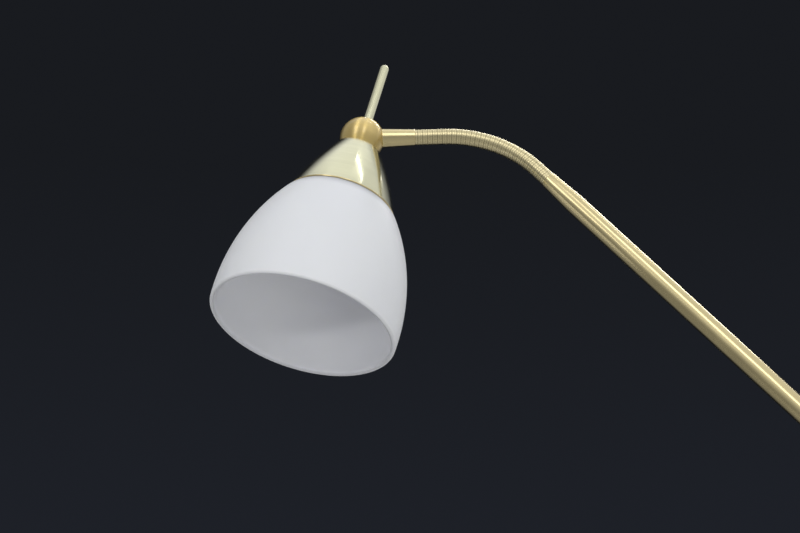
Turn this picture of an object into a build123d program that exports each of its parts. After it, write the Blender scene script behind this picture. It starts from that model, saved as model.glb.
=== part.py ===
from build123d import *
import os
from math import asin, cos, degrees, radians, sin, sqrt

# Floor lamp: weighted base, pole with a dimmer, swinging arm, ribbed flexible neck and a glass bell shade.
# Millimetres. The origin is on the floor under the pole, +Z is up and the head reaches towards -X.

# Fits
RUN_PLAY = 0.05
CLEARANCE = 0.3

# Base
BASE_R = 115.0
BASE_WALL = 1.2
BASE_SKIRT_MARGIN = 0.5
BASE_RISE = 7.0
BASE_ROUNDING = 5.0
BASE_LIFT = 1.0
PAD_T = 2.5
PAD_MARGIN = 2.0
NUT_RECESS_R = 20.0
WEIGHT_WEB_T = 9.0
WEIGHT_NUT_T = 6.0
WEIGHT_NUT_AF = 17.0
WASHER_R = 15.0
WASHER_T = 1.5
NIPPLE_R = 5.0
NIPPLE_BORE_R = 3.4
THREAD_SHOW = 1.0

# Cord inlet
CORD_INLET_LIFT = 1.5
CORD_BORE_R = 3.2
GROMMET_NECK_R = 4.6
GROMMET_FLANGE_R = 6.0
GROMMET_FLANGE_T = 2.0

# Pole
POLE_R = 8.0
POLE_WALL = 1.2
POLE_LOWER_L = 440.0
FOOT_R = 22.0
FOOT_H = 24.0
FOOT_EDGE_T = 3.0
FOOT_FLOOR_T = 4.0
FOOT_LIP = 1.8
PLUG_L = 20.0
COUPLER_T = 8.0
COUPLER_PROUD = 1.5
COUPLER_BORE_R = 4.5
COUPLER_ROUNDING = 1.2

# Dimmer at the head of the pole
HOUSING_R = 16.0
HOUSING_H = 56.0
HOUSING_WALL = 1.6
HOUSING_FLOOR_T = 4.0
HOUSING_SOCKET_H = 10.0
HOUSING_SOCKET_WALL = 3.0
CAP_T = 5.0
CAP_SPIGOT_H = 4.0
CAP_SPIGOT_WALL = 1.5
CAP_BOSS_R = 8.5
CAP_BOSS_H = 12.0
DIAL_H = 18.0
CONTROL_R = 8.0
CONTROL_BACK = 2.0
SHOULDER_R = 4.6
DIAL_BUSH_R = 3.5
DIAL_BUSH_L = 4.3
DIAL_SPINDLE_R = 2.5
DIAL_SPINDLE_GRIP = 8.0
DIAL_NUT_AF = 10.0
DIAL_NUT_T = 2.2
SPOT_FACE_R = 6.2
SPOT_FACE_DEPTH = 0.8
KNOB_R = 10.0
KNOB_L = 15.0
KNOB_GAP = 0.5
KNOB_SKIRT_WALL = 3.0
KNOB_SKIRT_DEPTH = 3.6
KNOB_CHAMFER = 1.0
GRUB_R = 1.5
GRUB_SINK = 1.0

# Swivel and knuckle
PIVOT_HEIGHT = 980.0
FORK_DROP = 12.0
FORK_BASE_R = 13.0
FORK_BASE_T = 8.0
CHEEK_T = 4.0
CHEEK_R = 9.0
SWIVEL_R = 5.0
SWIVEL_BORE_R = 3.0
SWIVEL_WASHER_T = 0.5
SWIVEL_NUT_R = 8.0
SWIVEL_NUT_T = 6.0
EYE_R = 8.5
EYE_HALF_T = 4.7
FRICTION_DISC_T = 0.5
PIVOT_R = 3.0
PIVOT_HEAD_R = 5.5
PIVOT_HEAD_T = 3.0
PIVOT_SLOT_W = 1.2
PIVOT_SLOT_DEPTH = 1.2
CAP_NUT_AF = 10.0
CAP_NUT_T = 5.0
CAP_NUT_DOME_R = 4.4

# Arm
ARM_ELEVATION = 48.86
ARM_REACH = 400.0
ARM_R = 6.55
ARM_WALL = 1.05
ARM_COLLAR_START = 12.0
ARM_COLLAR_T = 3.0
ARM_SPIGOT_L = 20.0
ARM_TAPER_L = 24.0
ARM_TIP_R = 5.35
LEAD_BORE_R = 2.5
LEAD_EXIT = 10.5

# Ribbed neck
NECK_R = 5.05
NECK_GROOVE_R = 4.5
NECK_BORE_R = 3.0
NECK_BEND_R = 75.0
NECK_TURN = 50.86
NECK_LOWER_STRAIGHT = 10.2
RIB_PITCH = 1.56
RIB_GAP = 0.62
RIB_FLANK = 0.18
LINK_COUNT = 15
RIBS_PER_LINK = 3
RIBS_PER_END = 8
NECK_SPIGOT_R = 4.05
NECK_SPIGOT_L = 10.0

# Ball, ferrule and handle
BALL_R = 14.25
BALL_FLAT_DEPTH = 4.75
FERRULE_R = 5.35
FERRULE_ROOT_R = 6.2
FERRULE_L = 21.18
FERRULE_BORE_R = 3.2
FERRULE_SPIGOT_R = 4.4
FERRULE_SPIGOT_L = 7.6
FERRULE_CHAMFER = 0.35
HANDLE_R = 3.0
HANDLE_L = 46.0
HANDLE_SPIGOT_R = 2.0
HANDLE_SPIGOT_L = 6.5

# Shade and its holder
HEAD_TILT = 14.3
SHADE_R = 58.8
SHADE_H = 90.5
SHADE_ARC_R = 142.0
SHADE_BELLY_H = 9.7
SHADE_WALL = 3.2
SHADE_SHOULDER_R = 14.0
CONE_LAP = 2.7
CONE_H = 45.1
CONE_TOP_R = 14.3
CONE_WALL = 0.8
CONE_BULGE = 1.6
SLEEVE_R = 14.0
SLEEVE_WALL = 1.2
SLEEVE_PLATE_T = 1.5
SEAT_R = 23.0
SEAT_T = 1.5
GASKET_T = 1.0
RING_R = 20.0
RING_T = 5.0
SLEEVE_SHOW = 1.0
HEAD_NUT_AF = 14.0
HEAD_NUT_T = 4.0

# Lampholder and capsule bulb
BRACKET_T = 1.0
BRACKET_W = 13.0
BRACKET_SPAN = 21.0
BRACKET_LEG_L = 18.0
HOLDER_HALF_DEPTH = 7.5
HOLDER_L = 15.0
HOLDER_SCREW_R = 1.5
HOLDER_SCREW_L = 4.0
HOLDER_SCREW_HEAD_R = 2.6
HOLDER_SCREW_HEAD_T = 1.2
PIN_SPACING = 9.0
PIN_R = 0.75
PIN_L = 9.0
PINCH_W = 13.0
PINCH_T = 5.2
PINCH_L = 9.0
BULB_R = 6.75
BULB_L = 34.0
BULB_WALL = 1.0


# Places that follow from the sizes

POLE_IN_R = POLE_R - POLE_WALL
CORD_INLET_H = BASE_LIFT + CORD_INLET_LIFT + GROMMET_FLANGE_R
BASE_SKIRT_H = CORD_INLET_H + GROMMET_FLANGE_R + BASE_SKIRT_MARGIN + BASE_ROUNDING
BASE_TOP = BASE_SKIRT_H + BASE_RISE
WEIGHT_R = BASE_R - BASE_WALL - BASE_ROUNDING
WEIGHT_TOP = BASE_TOP - BASE_WALL
RECESS_TOP = WEIGHT_TOP - WEIGHT_WEB_T
POLE_FOOT_Z = BASE_TOP + FOOT_FLOOR_T
COUPLER_Z = POLE_FOOT_Z + POLE_LOWER_L

FORK_FLOOR_Z = PIVOT_HEIGHT - FORK_DROP
FORK_BOTTOM_Z = FORK_FLOOR_Z - FORK_BASE_T
CAP_TOP_Z = FORK_BOTTOM_Z - SWIVEL_WASHER_T - RUN_PLAY
CAP_BOTTOM_Z = CAP_TOP_Z - CAP_T
BOSS_BOTTOM_Z = CAP_BOTTOM_Z - CAP_BOSS_H
SWIVEL_NUT_Z = BOSS_BOTTOM_Z - RUN_PLAY - SWIVEL_NUT_T
HOUSING_Z = CAP_BOTTOM_Z - HOUSING_H
HOUSING_FLOOR_Z = HOUSING_Z + HOUSING_FLOOR_T
HOUSING_IN_R = HOUSING_R - HOUSING_WALL
DIAL_Z = HOUSING_FLOOR_Z + DIAL_H
CONTROL_FRONT = sqrt((HOUSING_IN_R - CLEARANCE) ** 2 - CONTROL_R**2)
SHOULDER_FRONT = sqrt(HOUSING_IN_R**2 - SHOULDER_R**2) - RUN_PLAY
SPOT_FACE = HOUSING_R - SPOT_FACE_DEPTH
BUSH_END = SPOT_FACE + DIAL_BUSH_L
KNOB_BACK = HOUSING_R + KNOB_GAP
KNOB_FLOOR = KNOB_BACK + KNOB_SKIRT_DEPTH
CHEEK_IN = EYE_HALF_T + RUN_PLAY + FRICTION_DISC_T
CHEEK_OUT = CHEEK_IN + CHEEK_T

ARM_IN_R = ARM_R - ARM_WALL
ARM_TUBE_START = ARM_COLLAR_START + ARM_COLLAR_T

NECK_ARC_L = NECK_BEND_R * radians(NECK_TURN)
LINK_L = RIB_PITCH * RIBS_PER_LINK
NECK_END_L = RIB_PITCH * RIBS_PER_END
NECK_L = 2 * NECK_END_L + LINK_COUNT * LINK_L

BELL_CENTRE_R = SHADE_R - SHADE_ARC_R
SHOULDER_CENTRE_H = SHADE_H - SHADE_SHOULDER_R
BELL_TO_SHOULDER = SHADE_ARC_R - SHADE_SHOULDER_R
SHOULDER_CENTRE_R = BELL_CENTRE_R + sqrt(BELL_TO_SHOULDER**2 - (SHOULDER_CENTRE_H - SHADE_BELLY_H) ** 2)
BELL_END_ANGLE = degrees(asin((SHOULDER_CENTRE_H - SHADE_BELLY_H) / BELL_TO_SHOULDER))
CONE_RIM_H = SHADE_H - CONE_LAP
CONE_TOP_H = CONE_RIM_H + CONE_H
BALL_H = CONE_TOP_H + BALL_R - BALL_FLAT_DEPTH
FERRULE_SEAT = sqrt(BALL_R**2 - FERRULE_ROOT_R**2)
HANDLE_SEAT = sqrt(BALL_R**2 - HANDLE_R**2)
NIPPLE_DEPTH = BALL_R - BALL_FLAT_DEPTH - FERRULE_SPIGOT_R
UPPER_NUT_H = CONE_TOP_H - CONE_WALL - HEAD_NUT_T
SLEEVE_TOP_H = UPPER_NUT_H
BRACKET_TOP_H = SLEEVE_TOP_H - SLEEVE_PLATE_T
LOWER_NUT_H = BRACKET_TOP_H - BRACKET_T - HEAD_NUT_T
NIPPLE_END_H = LOWER_NUT_H - THREAD_SHOW
HOLDER_TOP_H = NIPPLE_END_H - CLEARANCE
HOLDER_END_H = HOLDER_TOP_H - HOLDER_L
SEAT_H = SHADE_H + GASKET_T
RING_TOP_H = SHADE_H - SHADE_WALL
SLEEVE_END_H = RING_TOP_H - RING_T - SLEEVE_SHOW
HOLDER_HALF_W = BRACKET_SPAN / 2 - BRACKET_T
HOLDER_SCREW_H = BRACKET_TOP_H - BRACKET_LEG_L + HOLDER_SCREW_HEAD_R


def turned(*points):
    """A solid turned about Z from a closed outline of (radius, height) points."""
    return revolve(Plane.XZ * make_face(Polyline(*points, close=True)), Axis.Z)


def tube(outer, inner, low, high):
    return turned((inner, low), (outer, low), (outer, high), (inner, high))


def rod(radius, low, high):
    return Pos(0, 0, low) * Cylinder(radius, high - low, align=(Align.CENTER, Align.CENTER, Align.MIN))


def hex_nut(across_flats, bore, low, high):
    hexagon = RegularPolygon(across_flats / 2, 6, major_radius=False) - Circle(bore)
    return Pos(0, 0, low) * extrude(hexagon, high - low)


def rounded(outline, radius, x, y):
    """The outline with its corner nearest to (x, y) rounded."""
    corner = min(outline.vertices(), key=lambda v: (v.X - x) ** 2 + (v.Y - y) ** 2)
    return fillet(corner, radius)


def bulged(start, end, bulge):
    """An arc between two points whose middle stands off the chord to the right by the bulge."""
    (x0, y0), (x1, y1) = start, end
    chord = sqrt((x1 - x0) ** 2 + (y1 - y0) ** 2)
    middle = ((x0 + x1) / 2 + bulge * (y1 - y0) / chord, (y0 + y1) / 2 - bulge * (x1 - x0) / chord)
    return ThreePointArc(start, middle, end)


def heading(degrees_up):
    """The unit direction in the lamp's own upright plane, turned up from +X."""
    return Vector(cos(radians(degrees_up)), 0, sin(radians(degrees_up)))


def frame_along(origin, direction):
    """A local frame whose Z runs along the direction and whose X is the lamp's +Y."""
    return Plane(origin=origin, x_dir=(0, 1, 0), z_dir=direction)


# Frames of the arm, the neck, the ferrule and the head

PIVOT = Vector(0, 0, PIVOT_HEIGHT)
ARM_HEADING = 180 - ARM_ELEVATION
FERRULE_HEADING = ARM_HEADING + NECK_TURN
ARM_FRAME = frame_along(PIVOT, heading(ARM_HEADING))
DIAL_FRAME = frame_along((0, 0, DIAL_Z), (-1, 0, 0))
INLET_FRAME = frame_along((0, 0, CORD_INLET_H), (1, 0, 0))
NECK_START = PIVOT + heading(ARM_HEADING) * ARM_REACH
BEND_START = NECK_START + heading(ARM_HEADING) * NECK_LOWER_STRAIGHT
BEND_CENTRE = BEND_START + heading(ARM_HEADING + 90) * NECK_BEND_R


def neck_frame(s):
    """The frame on the neck's middle line at the distance s from the arm's mouth."""
    bent = min(max(s - NECK_LOWER_STRAIGHT, 0), NECK_ARC_L)
    angle = ARM_HEADING + NECK_TURN * bent / NECK_ARC_L
    if s <= NECK_LOWER_STRAIGHT:
        return frame_along(NECK_START + heading(angle) * s, heading(angle))
    on_bend = BEND_CENTRE + heading(angle - 90) * NECK_BEND_R
    past_bend = max(s - NECK_LOWER_STRAIGHT - NECK_ARC_L, 0)
    return frame_along(on_bend + heading(angle) * past_bend, heading(angle))


BALL_CENTRE = neck_frame(NECK_L).origin + heading(FERRULE_HEADING) * (FERRULE_L + FERRULE_SEAT)
FERRULE_FRAME = frame_along(BALL_CENTRE, heading(FERRULE_HEADING + 180))
HEAD_UP = heading(90 - HEAD_TILT)
HEAD_FRAME = Plane(origin=BALL_CENTRE - HEAD_UP * BALL_H, x_dir=heading(-HEAD_TILT), z_dir=HEAD_UP)


# Base

def base_dome(inset, bottom):
    """The base's outline, moved in by the inset and closed at the bottom height."""
    side = BASE_R - inset
    shoulder = BASE_SKIRT_H - inset
    top = BASE_TOP - inset
    outline = make_face(
        Polyline((0, bottom), (side, bottom), (side, shoulder), (FOOT_R, top), (0, top), close=True)
    )
    return revolve(Plane.XZ * rounded(outline, BASE_ROUNDING - inset, side, shoulder), Axis.Z)


def base_pad():
    return rod(WEIGHT_R - PAD_MARGIN, 0, PAD_T)


def base_weight():
    body = base_dome(BASE_WALL, PAD_T) & rod(WEIGHT_R, PAD_T, BASE_TOP)
    body -= rod(NUT_RECESS_R, 0, RECESS_TOP)
    body -= rod(NIPPLE_R + CLEARANCE, 0, BASE_TOP)
    slot_top = CORD_INLET_H + GROMMET_FLANGE_R
    slot = Box(WEIGHT_R, 2 * GROMMET_FLANGE_R, slot_top, align=(Align.MIN, Align.CENTER, Align.MIN))
    return body - slot


def base_cover():
    shell = base_dome(0, BASE_LIFT) - base_dome(BASE_WALL, 0)
    shell -= rod(NIPPLE_R + CLEARANCE, 0, BASE_TOP + CLEARANCE)
    return shell - INLET_FRAME * rod(GROMMET_NECK_R, WEIGHT_R, BASE_R + BASE_WALL)


def cord_grommet():
    inside = sqrt((BASE_R - BASE_WALL) ** 2 - GROMMET_FLANGE_R**2)
    outside = BASE_R + GROMMET_FLANGE_T
    bush = turned(
        (CORD_BORE_R, inside - GROMMET_FLANGE_T),
        (GROMMET_FLANGE_R, inside - GROMMET_FLANGE_T),
        (GROMMET_FLANGE_R, inside),
        (GROMMET_NECK_R, inside),
        (GROMMET_NECK_R, BASE_R),
        (GROMMET_FLANGE_R, BASE_R),
        (GROMMET_FLANGE_R, outside - GROMMET_FLANGE_T / 2),
        (GROMMET_NECK_R, outside),
        (CORD_BORE_R, outside),
    )
    return INLET_FRAME * bush


def base_washer():
    return tube(WASHER_R, NIPPLE_R, RECESS_TOP - WASHER_T, RECESS_TOP)


def base_nut():
    top = RECESS_TOP - WASHER_T
    return hex_nut(WEIGHT_NUT_AF, NIPPLE_R, top - WEIGHT_NUT_T, top)


def base_nipple():
    low = RECESS_TOP - WASHER_T - WEIGHT_NUT_T - THREAD_SHOW
    return tube(NIPPLE_R, NIPPLE_BORE_R, low, POLE_FOOT_Z + PLUG_L)


# Pole

def pole_foot():
    top = BASE_TOP + FOOT_H
    lip_r = POLE_R + FOOT_LIP
    sweep_start = (FOOT_R, BASE_TOP + FOOT_EDGE_T)
    sweep_end = (lip_r, top)
    sweep_middle = (lip_r + (FOOT_R - lip_r) / 4, BASE_TOP + FOOT_EDGE_T + (FOOT_H - FOOT_EDGE_T) / 4)
    outline = make_face(
        [
            Polyline((NIPPLE_R, POLE_FOOT_Z), (NIPPLE_R, BASE_TOP), (FOOT_R, BASE_TOP), sweep_start),
            ThreePointArc(sweep_start, sweep_middle, sweep_end),
            Polyline(sweep_end, (POLE_R, top), (POLE_R, POLE_FOOT_Z), (NIPPLE_R, POLE_FOOT_Z)),
        ]
    )
    return revolve(Plane.XZ * outline, Axis.Z)


def pole_foot_plug():
    return tube(POLE_IN_R, NIPPLE_R, POLE_FOOT_Z, POLE_FOOT_Z + PLUG_L)


def pole_lower_tube():
    return tube(POLE_R, POLE_IN_R, POLE_FOOT_Z, COUPLER_Z)


def pole_coupler():
    low = COUPLER_Z
    high = COUPLER_Z + COUPLER_T
    spigots = tube(POLE_IN_R, COUPLER_BORE_R, low - PLUG_L, high + PLUG_L)
    collar = tube(POLE_R + COUPLER_PROUD, COUPLER_BORE_R, low, high)
    rim = collar.edges().filter_by(GeomType.CIRCLE).sort_by(lambda e: e.radius)[-2:]
    return spigots + fillet(rim, COUPLER_ROUNDING)


def pole_upper_tube():
    return tube(POLE_R, POLE_IN_R, COUPLER_Z + COUPLER_T, HOUSING_FLOOR_Z)


# Dimmer

def dimmer_housing():
    socket_r = POLE_R + HOUSING_SOCKET_WALL
    cup = turned(
        (POLE_R, HOUSING_FLOOR_Z),
        (POLE_R, HOUSING_Z - HOUSING_SOCKET_H),
        (socket_r, HOUSING_Z - HOUSING_SOCKET_H),
        (HOUSING_R, HOUSING_Z),
        (HOUSING_R, CAP_BOTTOM_Z),
        (HOUSING_IN_R, CAP_BOTTOM_Z),
        (HOUSING_IN_R, HOUSING_FLOOR_Z),
    )
    cup -= DIAL_FRAME * rod(DIAL_BUSH_R, CONTROL_FRONT, HOUSING_R)
    return cup - DIAL_FRAME * rod(SPOT_FACE_R, SPOT_FACE, KNOB_BACK)


def dimmer_control():
    bore_r = DIAL_SPINDLE_R + RUN_PLAY
    floor = CONTROL_BACK + DIAL_SPINDLE_R
    body = turned(
        (0, CONTROL_BACK),
        (CONTROL_R, CONTROL_BACK),
        (CONTROL_R, CONTROL_FRONT),
        (SHOULDER_R, CONTROL_FRONT),
        (SHOULDER_R, SHOULDER_FRONT),
        (DIAL_BUSH_R, SHOULDER_FRONT),
        (DIAL_BUSH_R, BUSH_END),
        (bore_r, BUSH_END),
        (bore_r, floor),
        (0, floor),
    )
    return DIAL_FRAME * body


def dimmer_nut():
    return DIAL_FRAME * hex_nut(DIAL_NUT_AF, DIAL_BUSH_R, SPOT_FACE, SPOT_FACE + DIAL_NUT_T)


def dimmer_spindle():
    low = CONTROL_BACK + DIAL_SPINDLE_R + RUN_PLAY
    return DIAL_FRAME * rod(DIAL_SPINDLE_R, low, KNOB_FLOOR + DIAL_SPINDLE_GRIP)


def grub_way(start, end):
    """A rod across the knob, down from its axis, at the middle of the spindle's grip."""
    middle = KNOB_FLOOR + DIAL_SPINDLE_GRIP / 2
    return DIAL_FRAME * (Plane((0, 0, middle), x_dir=(1, 0, 0), z_dir=(0, 1, 0)) * rod(GRUB_R, start, end))


def dimmer_knob():
    end = KNOB_BACK + KNOB_L
    skirt_in = KNOB_R - KNOB_SKIRT_WALL
    body = turned(
        (skirt_in, KNOB_BACK),
        (KNOB_R, KNOB_BACK),
        (KNOB_R, end - KNOB_CHAMFER),
        (KNOB_R - KNOB_CHAMFER, end),
        (0, end),
        (0, KNOB_FLOOR + DIAL_SPINDLE_GRIP),
        (DIAL_SPINDLE_R, KNOB_FLOOR + DIAL_SPINDLE_GRIP),
        (DIAL_SPINDLE_R, KNOB_FLOOR),
        (skirt_in, KNOB_FLOOR),
    )
    return DIAL_FRAME * body - grub_way(0, KNOB_R)


def knob_grub_screw():
    screw = grub_way(0, KNOB_R - GRUB_SINK)
    return screw - DIAL_FRAME * rod(DIAL_SPINDLE_R, KNOB_BACK, KNOB_BACK + KNOB_L)


# Swivel and knuckle

def swivel_cap():
    return turned(
        (SWIVEL_R + RUN_PLAY, CAP_TOP_Z),
        (HOUSING_R, CAP_TOP_Z),
        (HOUSING_R, CAP_BOTTOM_Z),
        (HOUSING_IN_R, CAP_BOTTOM_Z),
        (HOUSING_IN_R, CAP_BOTTOM_Z - CAP_SPIGOT_H),
        (HOUSING_IN_R - CAP_SPIGOT_WALL, CAP_BOTTOM_Z - CAP_SPIGOT_H),
        (HOUSING_IN_R - CAP_SPIGOT_WALL, CAP_BOTTOM_Z),
        (CAP_BOSS_R, CAP_BOTTOM_Z),
        (CAP_BOSS_R, BOSS_BOTTOM_Z),
        (SWIVEL_R + RUN_PLAY, BOSS_BOTTOM_Z),
    )


def across(radius, start, end):
    """A rod along +Y through the knuckle's pivot."""
    return frame_along(PIVOT, (1, 0, 0)) * (Plane.YZ * rod(radius, start, end))


def knuckle_fork():
    spindle = rod(SWIVEL_R, SWIVEL_NUT_Z - THREAD_SHOW, FORK_BOTTOM_Z)
    cheek = across(CHEEK_R, CHEEK_IN, CHEEK_OUT)
    foot = Pos(0, CHEEK_IN, FORK_FLOOR_Z) * Box(
        2 * CHEEK_R, CHEEK_T, FORK_DROP, align=(Align.CENTER, Align.MIN, Align.MIN)
    )
    cheek += foot
    fork = rod(FORK_BASE_R, FORK_BOTTOM_Z, FORK_FLOOR_Z) + spindle + cheek + mirror(cheek, Plane.XZ)
    fork -= rod(SWIVEL_BORE_R, SWIVEL_NUT_Z - THREAD_SHOW, FORK_FLOOR_Z)
    return fork - across(PIVOT_R, -CHEEK_OUT, CHEEK_OUT)


def swivel_washer():
    return tube(FORK_BASE_R, SWIVEL_R, FORK_BOTTOM_Z - SWIVEL_WASHER_T, FORK_BOTTOM_Z)


def swivel_nut():
    return tube(SWIVEL_NUT_R, SWIVEL_R, SWIVEL_NUT_Z, SWIVEL_NUT_Z + SWIVEL_NUT_T)


def friction_discs():
    disc = across(EYE_R, CHEEK_IN - FRICTION_DISC_T, CHEEK_IN) - across(PIVOT_R, 0, CHEEK_IN)
    return Compound(children=[disc, mirror(disc, Plane.XZ)])


def pivot_screw():
    head_end = CHEEK_OUT + PIVOT_HEAD_T
    screw = across(PIVOT_R, -CHEEK_OUT, CHEEK_OUT + CAP_NUT_T) + across(PIVOT_HEAD_R, -head_end, -CHEEK_OUT)
    slot = Pos(0, -head_end, PIVOT_HEIGHT) * Box(2 * PIVOT_HEAD_R, 2 * PIVOT_SLOT_DEPTH, PIVOT_SLOT_W)
    return screw - slot


def pivot_cap_nut():
    nut = hex_nut(CAP_NUT_AF, PIVOT_R, CHEEK_OUT, CHEEK_OUT + CAP_NUT_T)
    dome = Pos(0, 0, CHEEK_OUT + CAP_NUT_T) * Sphere(CAP_NUT_DOME_R)
    dome &= rod(CAP_NUT_DOME_R, CHEEK_OUT + CAP_NUT_T, CHEEK_OUT + CAP_NUT_T + CAP_NUT_DOME_R)
    return frame_along(PIVOT, (1, 0, 0)) * (Plane.YZ * (nut + dome))


# Arm

def arm_knuckle():
    eye = Plane.YZ * (Circle(EYE_R) + Pos(0, ARM_COLLAR_START / 2) * Rectangle(2 * ARM_R, ARM_COLLAR_START))
    tongue = extrude(eye, EYE_HALF_T, both=True) - Rot(0, 90, 0) * Cylinder(PIVOT_R + RUN_PLAY, 4 * EYE_HALF_T)
    end = ARM_TUBE_START + ARM_SPIGOT_L
    tongue += rod(ARM_R, ARM_COLLAR_START, ARM_TUBE_START) + rod(ARM_IN_R, ARM_TUBE_START, end)
    tongue -= rod(LEAD_BORE_R, LEAD_EXIT, end)
    lead_exit = Plane((0, 0, LEAD_EXIT), x_dir=(1, 0, 0), z_dir=(0, 1, 0)) * rod(LEAD_BORE_R, 0, ARM_R)
    return ARM_FRAME * (tongue - lead_exit)


def arm_tube():
    taper_start = ARM_REACH - ARM_TAPER_L
    mouth_start = ARM_REACH - NECK_SPIGOT_L
    return ARM_FRAME * turned(
        (ARM_IN_R, ARM_TUBE_START),
        (ARM_R, ARM_TUBE_START),
        (ARM_R, taper_start),
        (ARM_TIP_R, ARM_REACH),
        (NECK_SPIGOT_R, ARM_REACH),
        (NECK_SPIGOT_R, mouth_start),
        (ARM_IN_R, taper_start),
    )


# Ribbed neck

def rib_outline(start):
    """Distance and radius of the four circles of one rib."""
    low = start + RIB_GAP / 2
    high = start + RIB_PITCH - RIB_GAP / 2
    return [
        (low, NECK_GROOVE_R),
        (low + RIB_FLANK, NECK_R),
        (high - RIB_FLANK, NECK_R),
        (high, NECK_GROOVE_R),
    ]


def ribbed(start, rib_count, from_end=False, to_end=False):
    """A length of ribbed hose with its bore; an end of the whole neck closes on its neighbour's face."""
    end = start + rib_count * RIB_PITCH
    rings = [(start, NECK_GROOVE_R)] if from_end else []
    for rib in range(rib_count):
        rings += rib_outline(start + rib * RIB_PITCH)
    rings += [(end, NECK_GROOVE_R)] if to_end else []
    bore = [start + rib * RIB_PITCH for rib in range(rib_count + 1)]
    hose = loft([neck_frame(s) * Circle(r) for s, r in rings], ruled=True)
    return hose - loft([neck_frame(s) * Circle(NECK_BORE_R) for s in bore], ruled=True)


def neck_spigot(s, low, high):
    return neck_frame(s) * tube(NECK_SPIGOT_R, NECK_BORE_R, low, high)


def neck_lower_end():
    return ribbed(0, RIBS_PER_END, from_end=True) + neck_spigot(0, -NECK_SPIGOT_L, 0)


def neck_link(number):
    return ribbed(NECK_END_L + (number - 1) * LINK_L, RIBS_PER_LINK)


def neck_upper_end():
    return ribbed(NECK_L - NECK_END_L, RIBS_PER_END, to_end=True) + neck_spigot(NECK_L, 0, NECK_SPIGOT_L)


# Ball, ferrule and handle

def neck_ferrule():
    end = FERRULE_SEAT + FERRULE_L
    bottom = FERRULE_SEAT - FERRULE_SPIGOT_L
    return FERRULE_FRAME * turned(
        (FERRULE_BORE_R, bottom),
        (FERRULE_SPIGOT_R, bottom),
        (FERRULE_SPIGOT_R, FERRULE_SEAT),
        (FERRULE_ROOT_R, FERRULE_SEAT),
        (FERRULE_R, end - FERRULE_CHAMFER),
        (FERRULE_R - FERRULE_CHAMFER, end),
        (NECK_SPIGOT_R, end),
        (NECK_SPIGOT_R, end - NECK_SPIGOT_L),
        (FERRULE_BORE_R, end - NECK_SPIGOT_L),
    )


def head_ball():
    ball = Pos(*BALL_CENTRE) * Sphere(BALL_R)
    ball -= HEAD_FRAME * rod(BALL_R, CONE_TOP_H - BALL_FLAT_DEPTH, CONE_TOP_H)
    ball -= HEAD_FRAME * rod(NIPPLE_R, CONE_TOP_H, CONE_TOP_H + NIPPLE_DEPTH)
    ball -= HEAD_FRAME * rod(NIPPLE_BORE_R, CONE_TOP_H, BALL_H)
    ball -= FERRULE_FRAME * rod(FERRULE_ROOT_R, FERRULE_SEAT, BALL_R)
    ball -= FERRULE_FRAME * rod(FERRULE_SPIGOT_R, FERRULE_SEAT - FERRULE_SPIGOT_L, BALL_R)
    ball -= FERRULE_FRAME * rod(FERRULE_BORE_R, 0, BALL_R)
    ball -= HEAD_FRAME * rod(HANDLE_R, BALL_H + HANDLE_SEAT, BALL_H + BALL_R)
    return ball - HEAD_FRAME * rod(HANDLE_SPIGOT_R, BALL_H + HANDLE_SEAT - HANDLE_SPIGOT_L, BALL_H + BALL_R)


def handle_rod():
    seat = BALL_H + HANDLE_SEAT
    shoulder = seat + HANDLE_L - HANDLE_R
    handle = rod(HANDLE_R, seat, shoulder) + Pos(0, 0, shoulder) * Sphere(HANDLE_R)
    return HEAD_FRAME * (handle + rod(HANDLE_SPIGOT_R, seat - HANDLE_SPIGOT_L, seat))


# Shade and its holder

def bell_outline(inset):
    """The bell's wall from its lip to its flat top, on the outer face or a wall inside it."""
    arc_r = SHADE_ARC_R - inset
    lip_angle = degrees(asin((SHADE_WALL / 2 - SHADE_BELLY_H) / arc_r))
    bell = CenterArc((BELL_CENTRE_R, SHADE_BELLY_H), arc_r, lip_angle, BELL_END_ANGLE - lip_angle)
    shoulder_centre = (SHOULDER_CENTRE_R, SHOULDER_CENTRE_H)
    shoulder = CenterArc(shoulder_centre, SHADE_SHOULDER_R - inset, BELL_END_ANGLE, 90 - BELL_END_ANGLE)
    return bell, shoulder


def shade_glass():
    hole_r = SLEEVE_R + CLEARANCE
    outer, outer_shoulder = bell_outline(0)
    inner, inner_shoulder = bell_outline(SHADE_WALL)
    lip_middle = (((outer @ 0).X + (inner @ 0).X) / 2, 0)
    lip = ThreePointArc(outer @ 0, lip_middle, inner @ 0)
    neck = Polyline(outer_shoulder @ 1, (hole_r, SHADE_H), (hole_r, SHADE_H - SHADE_WALL), inner_shoulder @ 1)
    outline = make_face([outer, outer_shoulder, neck, inner_shoulder, inner, lip])
    return HEAD_FRAME * revolve(Plane.XZ * outline, Axis.Z)


def shade_cone():
    shoulder_r = SHOULDER_CENTRE_R + sqrt(SHADE_SHOULDER_R**2 - (CONE_RIM_H - SHOULDER_CENTRE_H) ** 2)
    rim_in = (shoulder_r + CLEARANCE, CONE_RIM_H)
    rim_out = (rim_in[0] + CONE_WALL, CONE_RIM_H)
    top_out = (CONE_TOP_R, CONE_TOP_H)
    top_in = (CONE_TOP_R - CONE_WALL, CONE_TOP_H - CONE_WALL)
    outline = make_face(
        [
            bulged(rim_out, top_out, CONE_BULGE),
            Polyline(top_out, (NIPPLE_R, CONE_TOP_H), (NIPPLE_R, CONE_TOP_H - CONE_WALL), top_in),
            bulged(rim_in, top_in, CONE_BULGE),
            Line(rim_in, rim_out),
        ]
    )
    return HEAD_FRAME * revolve(Plane.XZ * outline, Axis.Z)


def head_nipple():
    return HEAD_FRAME * tube(NIPPLE_R, NIPPLE_BORE_R, NIPPLE_END_H, CONE_TOP_H + NIPPLE_DEPTH)


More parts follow.
